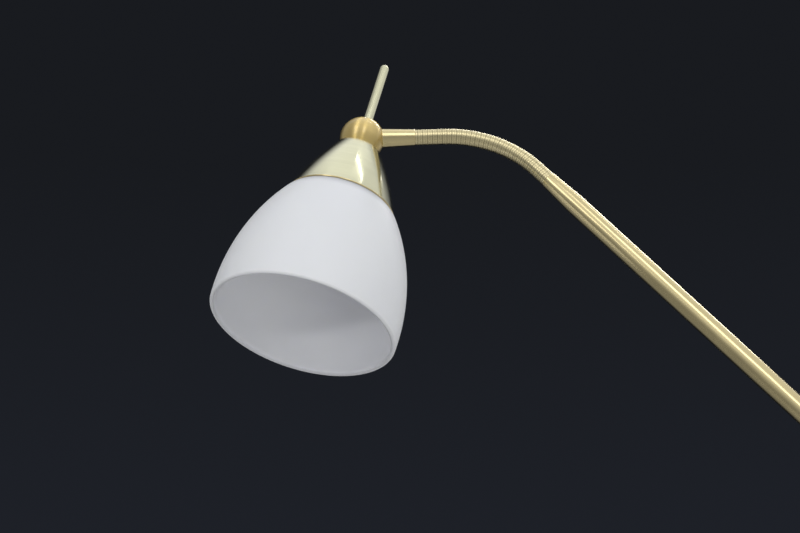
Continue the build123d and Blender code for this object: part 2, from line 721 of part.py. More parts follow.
def head_nuts():
    upper = hex_nut(HEAD_NUT_AF, NIPPLE_R, UPPER_NUT_H, UPPER_NUT_H + HEAD_NUT_T)
    lower = hex_nut(HEAD_NUT_AF, NIPPLE_R, LOWER_NUT_H, LOWER_NUT_H + HEAD_NUT_T)
    return HEAD_FRAME * Compound(children=[upper, lower])


def shade_sleeve():
    inner = SLEEVE_R - SLEEVE_WALL
    return HEAD_FRAME * turned(
        (NIPPLE_R, SLEEVE_TOP_H),
        (SLEEVE_R, SLEEVE_TOP_H),
        (SLEEVE_R, SEAT_H + SEAT_T),
        (SEAT_R, SEAT_H + SEAT_T),
        (SEAT_R, SEAT_H),
        (SLEEVE_R, SEAT_H),
        (SLEEVE_R, SLEEVE_END_H),
        (inner, SLEEVE_END_H),
        (inner, SLEEVE_TOP_H - SLEEVE_PLATE_T),
        (NIPPLE_R, SLEEVE_TOP_H - SLEEVE_PLATE_T),
    )


def shade_gasket():
    return HEAD_FRAME * tube(SEAT_R, SLEEVE_R, SHADE_H, SEAT_H)


def shade_ring():
    ring = tube(RING_R, SLEEVE_R, RING_TOP_H - RING_T, RING_TOP_H)
    lower_edge = ring.edges().filter_by(GeomType.CIRCLE).sort_by(Axis.Z)[:2].sort_by(lambda e: e.radius)[-1]
    return HEAD_FRAME * chamfer(lower_edge, RING_T / 4)


# Lampholder and bulb

def lampholder_bracket():
    low = BRACKET_TOP_H - BRACKET_LEG_L
    strip = Pos(0, 0, low) * Box(
        BRACKET_SPAN, BRACKET_W, BRACKET_LEG_L, align=(Align.CENTER, Align.CENTER, Align.MIN)
    )
    strip -= Pos(0, 0, low) * Box(
        2 * HOLDER_HALF_W, BRACKET_W, BRACKET_LEG_L - BRACKET_T, align=(Align.CENTER, Align.CENTER, Align.MIN)
    )
    strip -= rod(NIPPLE_R, low, BRACKET_TOP_H)
    screw_way = Pos(0, 0, HOLDER_SCREW_H) * Rot(0, 90, 0) * Cylinder(HOLDER_SCREW_R, BRACKET_SPAN)
    return HEAD_FRAME * (strip - screw_way)


def lampholder():
    block = Pos(0, 0, HOLDER_END_H) * Box(
        2 * HOLDER_HALF_W, 2 * HOLDER_HALF_DEPTH, HOLDER_L, align=(Align.CENTER, Align.CENTER, Align.MIN)
    )
    block &= rod(SLEEVE_R - SLEEVE_WALL - CLEARANCE, HOLDER_END_H, HOLDER_TOP_H)
    for side in (-1, 1):
        block -= Pos(side * PIN_SPACING / 2, 0, 0) * rod(PIN_R + RUN_PLAY, HOLDER_END_H, HOLDER_END_H + PIN_L)
        screw_middle = side * (HOLDER_HALF_W - HOLDER_SCREW_L / 2)
        block -= Pos(screw_middle, 0, HOLDER_SCREW_H) * Rot(0, 90, 0) * Cylinder(HOLDER_SCREW_R, HOLDER_SCREW_L)
    return HEAD_FRAME * block


def lampholder_screws():
    head_start = BRACKET_SPAN / 2
    screw = rod(HOLDER_SCREW_R, HOLDER_HALF_W - HOLDER_SCREW_L, head_start)
    screw += rod(HOLDER_SCREW_HEAD_R, head_start, head_start + HOLDER_SCREW_HEAD_T)
    screws = [Pos(0, 0, HOLDER_SCREW_H) * Rot(0, side * 90, 0) * screw for side in (-1, 1)]
    return HEAD_FRAME * Compound(children=screws)


def bulb_pins():
    pins = [
        Pos(side * PIN_SPACING / 2, 0, 0) * rod(PIN_R, HOLDER_END_H - PINCH_L / 2, HOLDER_END_H + PIN_L)
        for side in (-1, 1)
    ]
    return HEAD_FRAME * Compound(children=pins)


def bulb_envelope():
    top = HOLDER_END_H - PINCH_L
    tip = top - BULB_L
    inner_r = BULB_R - BULB_WALL
    capsule = rod(BULB_R, tip + BULB_R, top) + Pos(0, 0, tip + BULB_R) * Sphere(BULB_R)
    hollow = rod(inner_r, tip + BULB_R, top - BULB_WALL) + Pos(0, 0, tip + BULB_R) * Sphere(inner_r)
    pinch = Pos(0, 0, top) * Box(PINCH_W, PINCH_T, PINCH_L, align=(Align.CENTER, Align.CENTER, Align.MIN))
    for side in (-1, 1):
        pinch -= Pos(side * PIN_SPACING / 2, 0, 0) * rod(PIN_R, HOLDER_END_H - PINCH_L / 2, HOLDER_END_H)
    return HEAD_FRAME * (capsule - hollow + pinch)


PIECES = [
    base_pad, base_weight, base_cover, cord_grommet, base_washer, base_nut, base_nipple,
    pole_foot, pole_foot_plug, pole_lower_tube, pole_coupler, pole_upper_tube,
    dimmer_housing, dimmer_control, dimmer_nut, dimmer_spindle, dimmer_knob, knob_grub_screw,
    swivel_cap, knuckle_fork, swivel_washer, swivel_nut, friction_discs, pivot_screw, pivot_cap_nut,
    arm_knuckle, arm_tube, neck_lower_end, neck_upper_end,
    neck_ferrule, head_ball, handle_rod,
    shade_glass, shade_cone, head_nipple, head_nuts, shade_sleeve, shade_gasket, shade_ring,
    lampholder_bracket, lampholder, lampholder_screws, bulb_pins, bulb_envelope,
]

os.makedirs("parts", exist_ok=True)
for piece in PIECES:
    export_step(piece(), f"parts/{piece.__name__}.step")
for number in range(1, LINK_COUNT + 1):
    export_step(neck_link(number), f"parts/neck_link_{number:02d}.step")
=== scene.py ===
from math import asin, atan2, copysign, cos, degrees, dist, pi, radians, sin, sqrt, tan
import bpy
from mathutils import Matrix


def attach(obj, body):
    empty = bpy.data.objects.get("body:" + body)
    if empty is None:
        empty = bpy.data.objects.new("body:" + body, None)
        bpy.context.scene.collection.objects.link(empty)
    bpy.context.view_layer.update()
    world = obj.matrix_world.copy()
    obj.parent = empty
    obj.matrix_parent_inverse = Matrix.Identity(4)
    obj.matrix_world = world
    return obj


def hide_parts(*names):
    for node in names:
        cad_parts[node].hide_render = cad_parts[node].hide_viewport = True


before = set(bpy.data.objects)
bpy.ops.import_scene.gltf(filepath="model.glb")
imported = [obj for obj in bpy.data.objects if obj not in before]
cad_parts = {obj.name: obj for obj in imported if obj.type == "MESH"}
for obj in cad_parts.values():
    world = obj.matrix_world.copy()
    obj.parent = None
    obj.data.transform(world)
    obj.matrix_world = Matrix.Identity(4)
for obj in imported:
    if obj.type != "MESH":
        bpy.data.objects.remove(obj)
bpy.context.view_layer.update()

from types import SimpleNamespace

import bmesh
import bpy
from bpy.types import Operator, Panel, PropertyGroup
from mathutils import Matrix, Vector

bl_info = {
    "name": "Bell-shade floor lamp",
    "version": (1, 0, 0),
    "blender": (4, 5, 0),
    "location": "View3D > Sidebar > Lamp",
    "description": "Dresses the packed floor lamp: brass, opal glass, ribbed neck, floor and light",
    "category": "Object",
}

MM = 0.001

# Places of the frame, in millimetres and degrees
PIVOT_HEIGHT = 980.0
ARM_ELEVATION = 48.86
ARM_REACH = 400.0
NECK_LOWER_STRAIGHT = 10.2
NECK_BEND_R = 75.0
NECK_TURN = 50.86
NECK_LENGTH = 95.16
NECK_SPIGOT = 10.0
HEAD_TILT = 14.3
FERRULE_LENGTH = 21.18
FERRULE_R = 5.35
FERRULE_ROOT_R = 6.2
BALL_R = 14.25
BALL_FLAT = -9.5
HANDLE_R = 3.0
HANDLE_LENGTH = 46.0
BALL_HEIGHT = 142.4
DIAL_HEIGHT = 920.45
LINK_LENGTH = 4.68
NECK_END_LENGTH = 12.48
LINKS = [f"neck_link_{i:02d}" for i in range(1, 16)]

# Radii, heights, distances and roundings of the pieces, in millimetres
CUP_HOLE_R, CUP_ROUNDING = 5.0, 0.4
BEAD_R, BEAD_RISE = 0.70, 0.15
HANDLE_SPIGOT_R, HANDLE_SPIGOT, HANDLE_SHOULDER = 2.0, 6.5, 1.4
FERRULE_BORE, FERRULE_SPIGOT_R, FERRULE_SPIGOT = 3.2, 4.4, 7.6
NECK_SEAT_R = 4.05
ARM_R, ARM_BORE, ARM_MOUTH_R, ARM_START, ARM_TAPER = 6.55, 5.5, 5.35, 15.0, 376.0
BASE_R, BASE_LOW, BASE_SIDE, BASE_EDGE, BASE_WALL, BASE_HOLE_R = 115.0, 1.0, 20.0, 5.0, 1.2, 5.3
FOOT_R, FOOT_LOW, FOOT_SIDE, FOOT_TOP, FOOT_TOP_R, FOOT_SWEEP, FOOT_BORE = 22.0, 27.0, 30.0, 51.0, 9.8, -5.56, 5.0
POLE_R, POLE_BORE, POLE_LOW, POLE_TOP = 8.0, 6.8, 31.0, 902.45
COLLAR_R, COLLAR_LOW, COLLAR_TOP, COLLAR_EDGE = 9.5, 471.0, 479.0, 1.2
COUPLER_BORE, COUPLER_REACH = 4.5, 20.0
HOUSING_R, HOUSING_LOW_R, HOUSING_BORE = 16.0, 11.0, 14.4
HOUSING_LOW, HOUSING_SIDE, HOUSING_TOP = 888.45, 898.45, 954.45
HOUSING_LOW_EDGE, HOUSING_EDGE, CAP_EDGE, KNOB_EDGE = 0.8, 2.0, 1.0, 1.0
CAP_BORE, CAP_SKIRT_BORE, CAP_TUBE_R = 5.05, 12.9, 8.5
CAP_TOP, CAP_SKIRT, CAP_TUBE = 959.45, 950.45, 942.45
KNOB_HOLLOW_R, KNOB_HOLLOW, KNOB_STEP = 7.0, 3.6, 0.4
DISH_R, DISH_FLOOR_R, DISH_DEPTH = 7.2, 6.6, 0.5
INDEX_SIZE, INDEX_EDGE, INDEX_PLACE, INDEX_SINK = (0.9, 4.2, 0.3), 0.08, -4.0, 0.45
LINER_BALL = 1.05
KNUCKLE_EDGE, FORK_EDGE, SMALL_EDGE = 0.3, 0.4, 0.2

# How finely curved pieces are divided
PATH_STEP, ROUNDING_STEPS, BALL_STEPS = 0.25, 5, 16
RIDGE_SIDES, ROD_SIDES, NECK_SIDES, TUBE_SIDES, FLOOR_SIDES = 8, 64, 72, 96, 96
KNOB_SIDES, TURNED_SIDES, SHADE_SIDES, BASE_SIDES = 112, 128, 192, 256

# Painted shadow of the cup's rim on the glass: how dark, how far down from the cup's rim in millimetres, and how it
# falls off
PAINTED_RIM_SHADOW, PAINTED_RIM_SHADOW_DROP, PAINTED_RIM_SHADOW_FALL = 0.48, 8.0, 1.5
# Painted shade on the inner side of the lip, darker towards its bottom: how dark
PAINTED_LIP_SHADE = 0.30

# The camera and the floor, in metres, and the brightness of the room at elevations in degrees: ahead, right and left
CAMERA_PLACE = (-0.3570, -1.1546, 0.5068)
FLOOR_R, FLOOR_DROP = 2.4, 0.0001
FRONT_LEVELS = (
    (-20, 0.34), (-5, 0.45), (6, 0.74), (20, 0.88), (28, 0.95), (37, 0.78), (54, 0.80), (65, 1.00), (80, 1.02),
)
SIDE_LEVELS = ((-20, 0.24), (0, 0.32), (20, 0.38), (38, 0.50), (47, 0.72), (58, 0.86), (80, 1.02))
LEFT_LEVELS = ((-20, 0.24), (0, 0.34), (20, 0.38), (40, 0.42), (58, 0.50), (70, 0.80), (80, 1.02))


# Properties

def number(name, value, description, **more):
    return bpy.props.FloatProperty(name=name, description=description, default=value, **more)


def length(name, millimetres, description):
    """A size that is written in millimetres and kept in metres."""
    return number(name, millimetres * MM, description, unit="LENGTH", precision=5)


def colour(name, value, description):
    return bpy.props.FloatVectorProperty(
        name=name, description=description, default=value, subtype="COLOR", min=0, max=1
    )


def count(name, value, description):
    return bpy.props.IntProperty(name=name, description=description, default=value, min=1)


class ShadeSizes(PropertyGroup):
    mouth: length("Mouth radius", 58.8, "Outer radius of the bell at its belly")
    height: length("Height", 90.5, "From the lip to the flat top of the glass")
    arc: length("Side arc", 142.0, "Radius of the bell's side")
    belly: length("Belly height", 9.7, "Height of the widest place above the lip")
    wall: length("Wall", 3.2, "Thickness of the glass")
    shoulder: length("Shoulder", 14.0, "Radius of the bell's shoulder")
    neck_hole: length("Neck hole", 14.3, "Radius of the hole in the flat top")
    cup_rim: length("Cup rim height", 87.8, "Height of the brass cup's rim above the lip")
    cup_height: length("Cup height", 45.1, "From the cup's rim to its flat top")
    cup_top: length("Cup top radius", 14.3, "Radius of the cup's flat top")
    cup_wall: length("Cup wall", 0.8, "Thickness of the cup's sheet")
    cup_bulge: length("Cup bulge", 1.6, "How far the cup's side stands off a straight cone")
    cup_play: length("Cup play", 0.3, "Gap between the glass and the cup")


class NeckSizes(PropertyGroup):
    pitch: length("Rib pitch", 1.56, "From one rib to the next along the neck")
    crest: length("Crest radius", 5.05, "Radius over the ribs")
    seat: length("Rib seat radius", 5.0, "Radius at the foot of the ribs")
    width: length("Rib width", 0.84, "Width of a rib along the neck")
    rounding: length("Rib rounding", 0.02, "Rounding of a rib's edges")
    liner: length("Liner radius", 5.02, "Radius of the liner between the ribs")
    # The dark line is painted shade in every second groove
    line: length("Dark line width", 0.62, "Width of the dark line in every second groove")
    fit: length("Fit", 0.022, "Thickness of the liner's sleeves, and half the room round the balls inside them")
    spigot: length("Spigot radius", 4.0, "Radius of the plain ends inside the arm and the ferrule")
    bore: length("Bore radius", 3.0, "Radius of the way for the leads")
    link_ribs: count("Ribs on a link", 3, "Ribs that move together")
    end_ribs: count("Ribs on an end", 8, "Ribs on each fixed end of the neck")


class KnobSizes(PropertyGroup):
    radius: length("Radius", 10.0, "Radius over the knurl")
    start: length("Back", 16.5, "Distance of the knob's back from the pole's axis")
    end: length("Front", 31.5, "Distance of the knob's front from the pole's axis")
    ridges: count("Ridges", 56, "Ridges round the knob")
    ridge: length("Ridge height", 0.45, "How far a ridge stands out")
    margin: length("Margin", 1.6, "Plain band at each end of the knurl")


class LampFinish(PropertyGroup):
    satin: colour("Satin brass", (0.740, 0.715, 0.490), "Pale brass of the cup, the handle and the base")
    drawn: colour("Drawn brass", (0.740, 0.615, 0.325), "Warmer brass of the tubes")
    golden: colour("Polished brass", (0.940, 0.705, 0.265), "Brass of the ball and the screws")
    ribbed: colour("Ribbed brass", (0.750, 0.650, 0.380), "Brass of the bendable neck")
    inner: colour("Plain brass", (0.560, 0.440, 0.190), "Brass of the pieces inside")
    opal: colour("Opal glass", (0.890, 0.895, 0.935), "Body colour of the bell")
    edge: length("Edge rounding", 0.35, "Rounding of the turned pieces' edges")
    lacquer: number("Lacquer", 0.8, "Weight of the clear lacquer over the brass", subtype="FACTOR", min=0, max=1)


class StageSettings(PropertyGroup):
    floor: colour("Floor", (0.600, 0.595, 0.585), "Colour of the floor")
    backdrop: colour("Backdrop", (0.0096, 0.0108, 0.0137), "Dark cloth behind the lamp")
    backdrop_low: colour("Low backdrop", (0.0132, 0.0153, 0.0212), "The same cloth lower down, in more light")
    room: colour("Room", (0.965, 0.985, 1.000), "White walls and ceiling on the camera's side")
    lens: number("Lens", 99.0, "Focal length of the camera", min=1, subtype="DISTANCE_CAMERA")
    pitch: number("Pitch", radians(31.6), "How far the camera looks up", subtype="ANGLE")


# Places

def heading(degrees_up):
    angle = radians(degrees_up)
    return Vector((cos(angle), 0, sin(angle)))


def place(origin, direction, across=(0, 1, 0)):
    """A local frame at the origin, with Z along the direction and X across it."""
    z = Vector(direction).normalized()
    x = Vector(across).normalized()
    return Matrix.Translation(Vector(origin)) @ Matrix((x, z.cross(x), z)).transposed().to_4x4()


ARM_HEADING = 180 - ARM_ELEVATION
PIVOT = Vector((0, 0, PIVOT_HEIGHT * MM))
NECK_START = PIVOT + heading(ARM_HEADING) * ARM_REACH * MM
NECK_ARC = NECK_BEND_R * radians(NECK_TURN)


def neck_point(s):
    """The point and the direction on the neck's middle line, s millimetres from the arm's mouth."""
    bent = min(max(s - NECK_LOWER_STRAIGHT, 0), NECK_ARC)
    angle = ARM_HEADING + NECK_TURN * bent / NECK_ARC
    way = heading(angle)
    if s <= NECK_LOWER_STRAIGHT:
        return NECK_START + way * s * MM, way
    start = NECK_START + heading(ARM_HEADING) * NECK_LOWER_STRAIGHT * MM
    centre = start + heading(ARM_HEADING + 90) * NECK_BEND_R * MM
    past = max(s - NECK_LOWER_STRAIGHT - NECK_ARC, 0)
    return centre + heading(angle - 90) * NECK_BEND_R * MM + way * past * MM, way


NECK_END, FERRULE_WAY = neck_point(NECK_LENGTH)
FERRULE_SEAT = sqrt(BALL_R**2 - FERRULE_ROOT_R**2)
HANDLE_SEAT = BALL_HEIGHT + sqrt(BALL_R**2 - HANDLE_R**2)
BALL_CENTRE = NECK_END + FERRULE_WAY * (FERRULE_LENGTH + FERRULE_SEAT) * MM
HEAD_UP = heading(90 - HEAD_TILT)
POLE_PLACE = Matrix.Identity(4)
ARM_PLACE = place(PIVOT, heading(ARM_HEADING))
DIAL_PLACE = place((0, 0, DIAL_HEIGHT * MM), (-1, 0, 0))
FERRULE_PLACE = place(BALL_CENTRE, -FERRULE_WAY)
HEAD_PLACE = place(BALL_CENTRE - HEAD_UP * BALL_HEIGHT * MM, HEAD_UP, heading(-HEAD_TILT))


# Outlines of turned pieces: (radius, height) points in millimetres

def arc(centre, radius, start, end, steps=24):
    """Points on an arc between two angles in degrees."""
    turns = [radians(start + (end - start) * i / steps) for i in range(steps + 1)]
    return [(centre[0] + radius * cos(t), centre[1] + radius * sin(t)) for t in turns]


def bow(start, end, bulge, steps=24):
    """Points on an arc from start to end whose middle stands off the chord by the bulge: to the right, or to the left
    where it is negative."""
    side = copysign(1, bulge)
    chord = Vector((end[0] - start[0], end[1] - start[1]))
    off = Vector((chord.y, -chord.x)).normalized() * side
    radius = chord.length**2 / (8 * abs(bulge)) + abs(bulge) / 2
    centre = (Vector(start) + Vector(end)) / 2 + off * (abs(bulge) - radius)
    facing = degrees(atan2(off.y, off.x))
    half = degrees(asin(chord.length / 2 / radius)) * side
    return arc(centre, radius, facing - half, facing + half, steps)


def eased(points, rounding, steps=4, sharpest=20, share=0.4, hold=1.6):
    """The closed outline with its corners rounded, by no more than a share of their sides, and a holding point at each
    side of a rounding. A third number in a point is that corner's own rounding."""
    made = []
    for i, point in enumerate(points):
        here = Vector(point[:2])
        back = Vector(points[i - 1][:2]) - here
        ahead = Vector(points[(i + 1) % len(points)][:2]) - here
        turn = 180 - degrees(back.angle(ahead))
        if here.x == 0 or turn < sharpest:
            made.append(tuple(here))
            continue
        wanted = (point[2] if len(point) > 2 else rounding) * tan(radians(turn / 2))
        trim = min(wanted, back.length * share, ahead.length * share)
        first, last = back.normalized() * trim, ahead.normalized() * trim
        if back.length > 4 * trim:
            made.append(tuple(here + first * hold))
        for step in range(steps + 1):
            t = step / steps
            made.append(tuple((here + first) * (1 - t) ** 2 + here * 2 * t * (1 - t) + (here + last) * t**2))
        if ahead.length > 4 * trim:
            made.append(tuple(here + last * hold))
    return made


def tube_outline(low, high):
    """A length of the pole's tube."""
    return [(POLE_BORE, low), (POLE_R, low), (POLE_R, high), (POLE_BORE, high)]


# Meshes

def new_piece(name, data):
    """An object in the scene: a mesh, a light or a camera."""
    piece = bpy.data.objects.new(name, data)
    bpy.context.scene.collection.objects.link(piece)
    return piece


def worked(name, work):
    """A piece from a bmesh, which ends here."""
    mesh = bpy.data.meshes.new(name)
    work.to_mesh(mesh)
    work.free()
    return new_piece(name, mesh)


def smooth(mesh, sharpest=32):
    mesh.shade_smooth()
    mesh.set_sharp_from_angle(angle=radians(sharpest))
    mesh.update()


def solid(name, points, faces):
    """A closed mesh whose faces look outwards."""
    mesh = bpy.data.meshes.new(name)
    mesh.from_pydata(points, [], faces)
    work = bmesh.new()
    work.from_mesh(mesh)
    bmesh.ops.recalc_face_normals(work, faces=work.faces)
    work.to_mesh(mesh)
    work.free()
    smooth(mesh)
    return new_piece(name, mesh)


def lathe(name, outline, where, segments=TURNED_SIDES, lengthwise=False, painted_shades=None):
    """A turned piece. Its points keep their place in the turning pattern and the way across the tool lines: along the
    outline, or round the axis on a piece drawn lengthwise. Painted shades, one for each point of the outline, are kept
    too."""
    rings, pattern, across, faces, points = [], [], [], [], []
    mean = sum(r for r, _ in outline) / len(outline) * MM
    travel = 0.0
    for i, (r, h) in enumerate(outline):
        if i:
            travel += dist(outline[i - 1], (r, h)) * MM
        before, after = outline[i - 1], outline[(i + 1) % len(outline)]
        slope = Vector((after[0] - before[0], after[1] - before[1])).normalized()
        ring = []
        for j in range(1 if r == 0 else segments):
            a = 2 * pi * j / segments
            out = Vector((cos(a), sin(a), 0))
            ring.append(len(points))
            points.append(where @ (out * r * MM + Vector((0, 0, h * MM))))
            pattern.append((out.x * mean, out.y * mean, travel))
            way = Vector((-out.y, out.x, 0)) if lengthwise else out * slope.x + Vector((0, 0, slope.y))
            across.append(where.to_3x3() @ way)
        rings.append(ring)
    for i, ring in enumerate(rings):
        after = rings[(i + 1) % len(rings)]
        if len(ring) == 1 and len(after) == 1:
            continue
        for j in range(segments):
            k = j + 1
            corners = [ring[j % len(ring)], ring[k % len(ring)], after[k % len(after)], after[j % len(after)]]
            faces.append(list(dict.fromkeys(corners)))
    piece = solid(name, points, faces)
    mesh = piece.data
    for title, values in (("turning", pattern), ("across", across)):
        layer = mesh.attributes.new(title, "FLOAT_VECTOR", "POINT")
        layer.data.foreach_set("vector", [x for v in values for x in v])
    # Painted shade, kept as the tone attribute
    if painted_shades:
        layer = mesh.attributes.new("tone", "FLOAT", "POINT")
        layer.data.foreach_set("value", [tone for tone, ring in zip(painted_shades, rings) for _ in ring])
    return piece


def turned(name, outline, where, segments=TURNED_SIDES, lengthwise=False):
    """A turned piece whose edges have the lamp's edge rounding."""
    edge = bpy.context.scene.lamp_finish.edge / MM
    return lathe(name, eased(outline, edge), where, segments, lengthwise)


def soften(node, rounding, *dressing):
    """Puts a copy in a CAD node's place, with merged points and its sharp edges rounded."""
    work = bmesh.new()
    work.from_mesh(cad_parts[node].data)
    bmesh.ops.remove_doubles(work, verts=work.verts, dist=1e-6)
    bmesh.ops.dissolve_limit(work, angle_limit=radians(0.5), verts=work.verts, edges=work.edges)
    piece = worked(node + "_finished", work)
    smooth(piece.data)
    bevel = piece.modifiers.new("edge", "BEVEL")
    bevel.width = rounding * MM
    bevel.segments = 2
    bevel.limit_method = "ANGLE"
    bevel.angle_limit = radians(40)
    bevel.harden_normals = True
    dress(piece, *dressing, node)


def dress(piece, body, slot, finish, *nodes):
    """Paints the piece, puts it on its body and lets it stand for its CAD nodes."""
    piece.data.materials.clear()
    piece.data.materials.append(FINISHES[finish])
    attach(piece, body)
    if nodes:
        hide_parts(*nodes)


def paint(finish, *nodes):
    """Gives CAD nodes their finish."""
    for node in nodes:
        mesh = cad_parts[node].data
        mesh.materials.clear()
        mesh.materials.append(FINISHES[finish])


# Node helpers

def wire(tree, socket, value):
    if isinstance(value, bpy.types.NodeSocket):
        tree.links.new(value, socket)
    else:
        socket.default_value = value


def add(tree, kind, inputs=None, **settings):
    """A node with its inputs and settings; an input is a value or another node's socket."""
    made = tree.nodes.new(kind)
    for key, value in settings.items():
        setattr(made, key, value)
    for key, value in (inputs or {}).items():
        wire(tree, made.inputs[key], value)
    return made


def tap(tree, kind, inputs=None, **settings):
    """The first output of a new node."""
    return add(tree, kind, inputs, **settings).outputs[0]


def noise(tree, vector, scale, detail=3.0, stretch=(1, 1, 1)):
    mapped = tap(tree, "ShaderNodeMapping", {"Vector": vector, "Scale": stretch})
    return tap(tree, "ShaderNodeTexNoise", {"Vector": mapped, "Scale": scale, "Detail": detail})


def graded(tree, factor, low=0.0, high=1.0, start=0.3, end=0.7):
    """A number that goes from low to high as the factor goes from start to end."""
    values = {"Value": factor, "From Min": start, "From Max": end, "To Min": low, "To Max": high}
    return tap(tree, "ShaderNodeMapRange", values)


def levels(tree, factor, stops):
    """A brightness that goes through the levels given at these elevations, in degrees."""
    made = add(tree, "ShaderNodeValToRGB", {0: factor})
    marks = made.color_ramp.elements
    for i, (elevation, level) in enumerate(stops):
        place_of = (1 + sin(radians(elevation))) / 2
        mark = marks[i] if i < 2 else marks.new(place_of)
        mark.position = place_of
        mark.color = (level, level, level, 1)
    return made.outputs[0]


def blend(tree, factor, first, second, kind="MIX"):
    """A colour between two others, or their product where the kind is MULTIPLY."""
    made = add(tree, "ShaderNodeMix", {0: factor, 6: first, 7: second}, data_type="RGBA", blend_type=kind)
    return made.outputs[2]


def tinted(tree, factor, base, low, high):
    """The base colour, times low to high as the factor goes from 0 to 1."""
    return blend(tree, factor, (*scaled(base, low), 1), (*scaled(base, high), 1))


def calc(tree, kind, first, second):
    """The result of an operation on two numbers."""
    return tap(tree, "ShaderNodeMath", {0: first, 1: second}, operation=kind)


def scaled(value, factor):
    return tuple(min(c * factor, 1.0) for c in value)


def new_material(name, **sockets):
    """A material, its tree, its Principled shader with the sockets named set on it, and object coordinates."""
    material = bpy.data.materials.new(name)
    material.use_nodes = True
    tree = material.node_tree
    shader = tree.nodes["Principled BSDF"]
    for key, value in sockets.items():
        shader.inputs[key.replace("_", " ")].default_value = value
    return material, tree, shader, add(tree, "ShaderNodeTexCoord").outputs["Object"]


def surface(tree, shader, hue, rough, relief, depth, strength):
    """Gives a shader its colour, its roughness and a fine relief, whose depth is in millimetres."""
    bump = tap(tree, "ShaderNodeBump", {"Height": relief, "Distance": depth * MM, "Strength": strength})
    for key, value in (("Base Color", hue), ("Roughness", rough), ("Normal", bump)):
        tree.links.new(value, shader.inputs[key])


# Finishes

def brushed_brass(name, base, roughness, lengthwise, anisotropic, lacquer, relief=0.4):
    """Turned or drawn brass under clear lacquer, with fine tool lines that follow the piece."""
    material, tree, shader, where = new_material(
        name, Metallic=1.0, Anisotropic=anisotropic, Coat_Weight=lacquer, Coat_Roughness=0.08, Coat_IOR=1.45
    )
    pattern = add(tree, "ShaderNodeAttribute", attribute_name="turning").outputs["Vector"]
    along = (1.0, 1.0, 0.02) if lengthwise else (0.02, 0.02, 1.0)
    fine = noise(tree, pattern, 3200.0, 2.0, along)
    broad = noise(tree, pattern, 420.0, 3.0, along)
    cloud = noise(tree, where, 60.0, 4.0)
    tone = calc(tree, "ADD", calc(tree, "MULTIPLY", broad, 0.6), calc(tree, "MULTIPLY", cloud, 0.4))
    hue = tinted(tree, graded(tree, tone), base, 0.94, 1.05)
    rough = calc(tree, "ADD", graded(tree, fine, -0.04, 0.04), graded(tree, cloud, roughness - 0.03, roughness + 0.03))
    surface(tree, shader, hue, rough, calc(tree, "ADD", fine, broad), 0.001, relief)
    across = add(tree, "ShaderNodeAttribute", attribute_name="across").outputs["Vector"]
    ways = {"vector_type": "VECTOR", "convert_from": "OBJECT", "convert_to": "WORLD"}
    tangent = tap(tree, "ShaderNodeVectorTransform", {"Vector": across}, **ways)
    tree.links.new(tangent, shader.inputs["Tangent"])
    return material


def plain_metal(name, base, roughness, speckle=0.06, lacquer=0.0, grit=0.006):
    """Milled or plated metal with a fine even grain on object coordinates."""
    material, tree, shader, where = new_material(name, Metallic=1.0, Coat_Weight=lacquer, Coat_Roughness=0.10)
    fine = noise(tree, where, 5000.0, 2.0, (1.0, 1.0, 0.25))
    cloud = noise(tree, where, 90.0, 4.0)
    hue = tinted(tree, graded(tree, cloud), base, 1 - speckle, 1 + speckle)
    rough = calc(tree, "ADD", graded(tree, fine, -0.04, 0.06), graded(tree, cloud, roughness - 0.03, roughness + 0.05))
    surface(tree, shader, hue, rough, fine, grit, 0.5)
    return material


def opal_glass(name, base):
    """Acid-satined opal glass: light sinks in and comes out soft. Painted shade from the tone attribute darkens its
    colour.
    """
    material, tree, shader, where = new_material(
        name, Subsurface_Weight=0.75, Subsurface_Scale=0.0016, IOR=1.5, Specular_IOR_Level=0.4
    )
    shader.inputs["Subsurface Radius"].default_value = (1.0, 1.0, 1.05)
    flow = noise(tree, where, 22.0, 3.0, (1.0, 1.0, 0.5))
    etch = noise(tree, where, 2600.0, 2.0)
    hue = tinted(tree, graded(tree, flow), base, 0.985, 1.012)
    # The tone attribute carries painted shade: the cup rim's shadow and the lip's darker inner side, multiplied into
    # the colour
    tone = add(tree, "ShaderNodeAttribute", attribute_name="tone").outputs["Color"]
    hue = blend(tree, 1.0, hue, tone, "MULTIPLY")
    surface(tree, shader, hue, graded(tree, flow, 0.42, 0.50), etch, 0.004, 0.35)
    return material


def moulded(name, base, roughness, scale=1800.0, depth=0.01, speckle=0.10, **sockets):
    """Moulded, cast or pressed stuff with an even small texture on object coordinates."""
    material, tree, shader, where = new_material(name, **sockets)
    fine = noise(tree, where, scale)
    cloud = noise(tree, where, 70.0, 4.0)
    tone = graded(tree, calc(tree, "ADD", fine, cloud), 0.0, 1.0, 0.8, 1.2)
    hue = tinted(tree, tone, base, 1 - speckle, 1 + speckle)
    surface(tree, shader, hue, graded(tree, cloud, roughness - 0.04, roughness + 0.05), fine, depth, 0.6)
    return material


FINISHES = {}


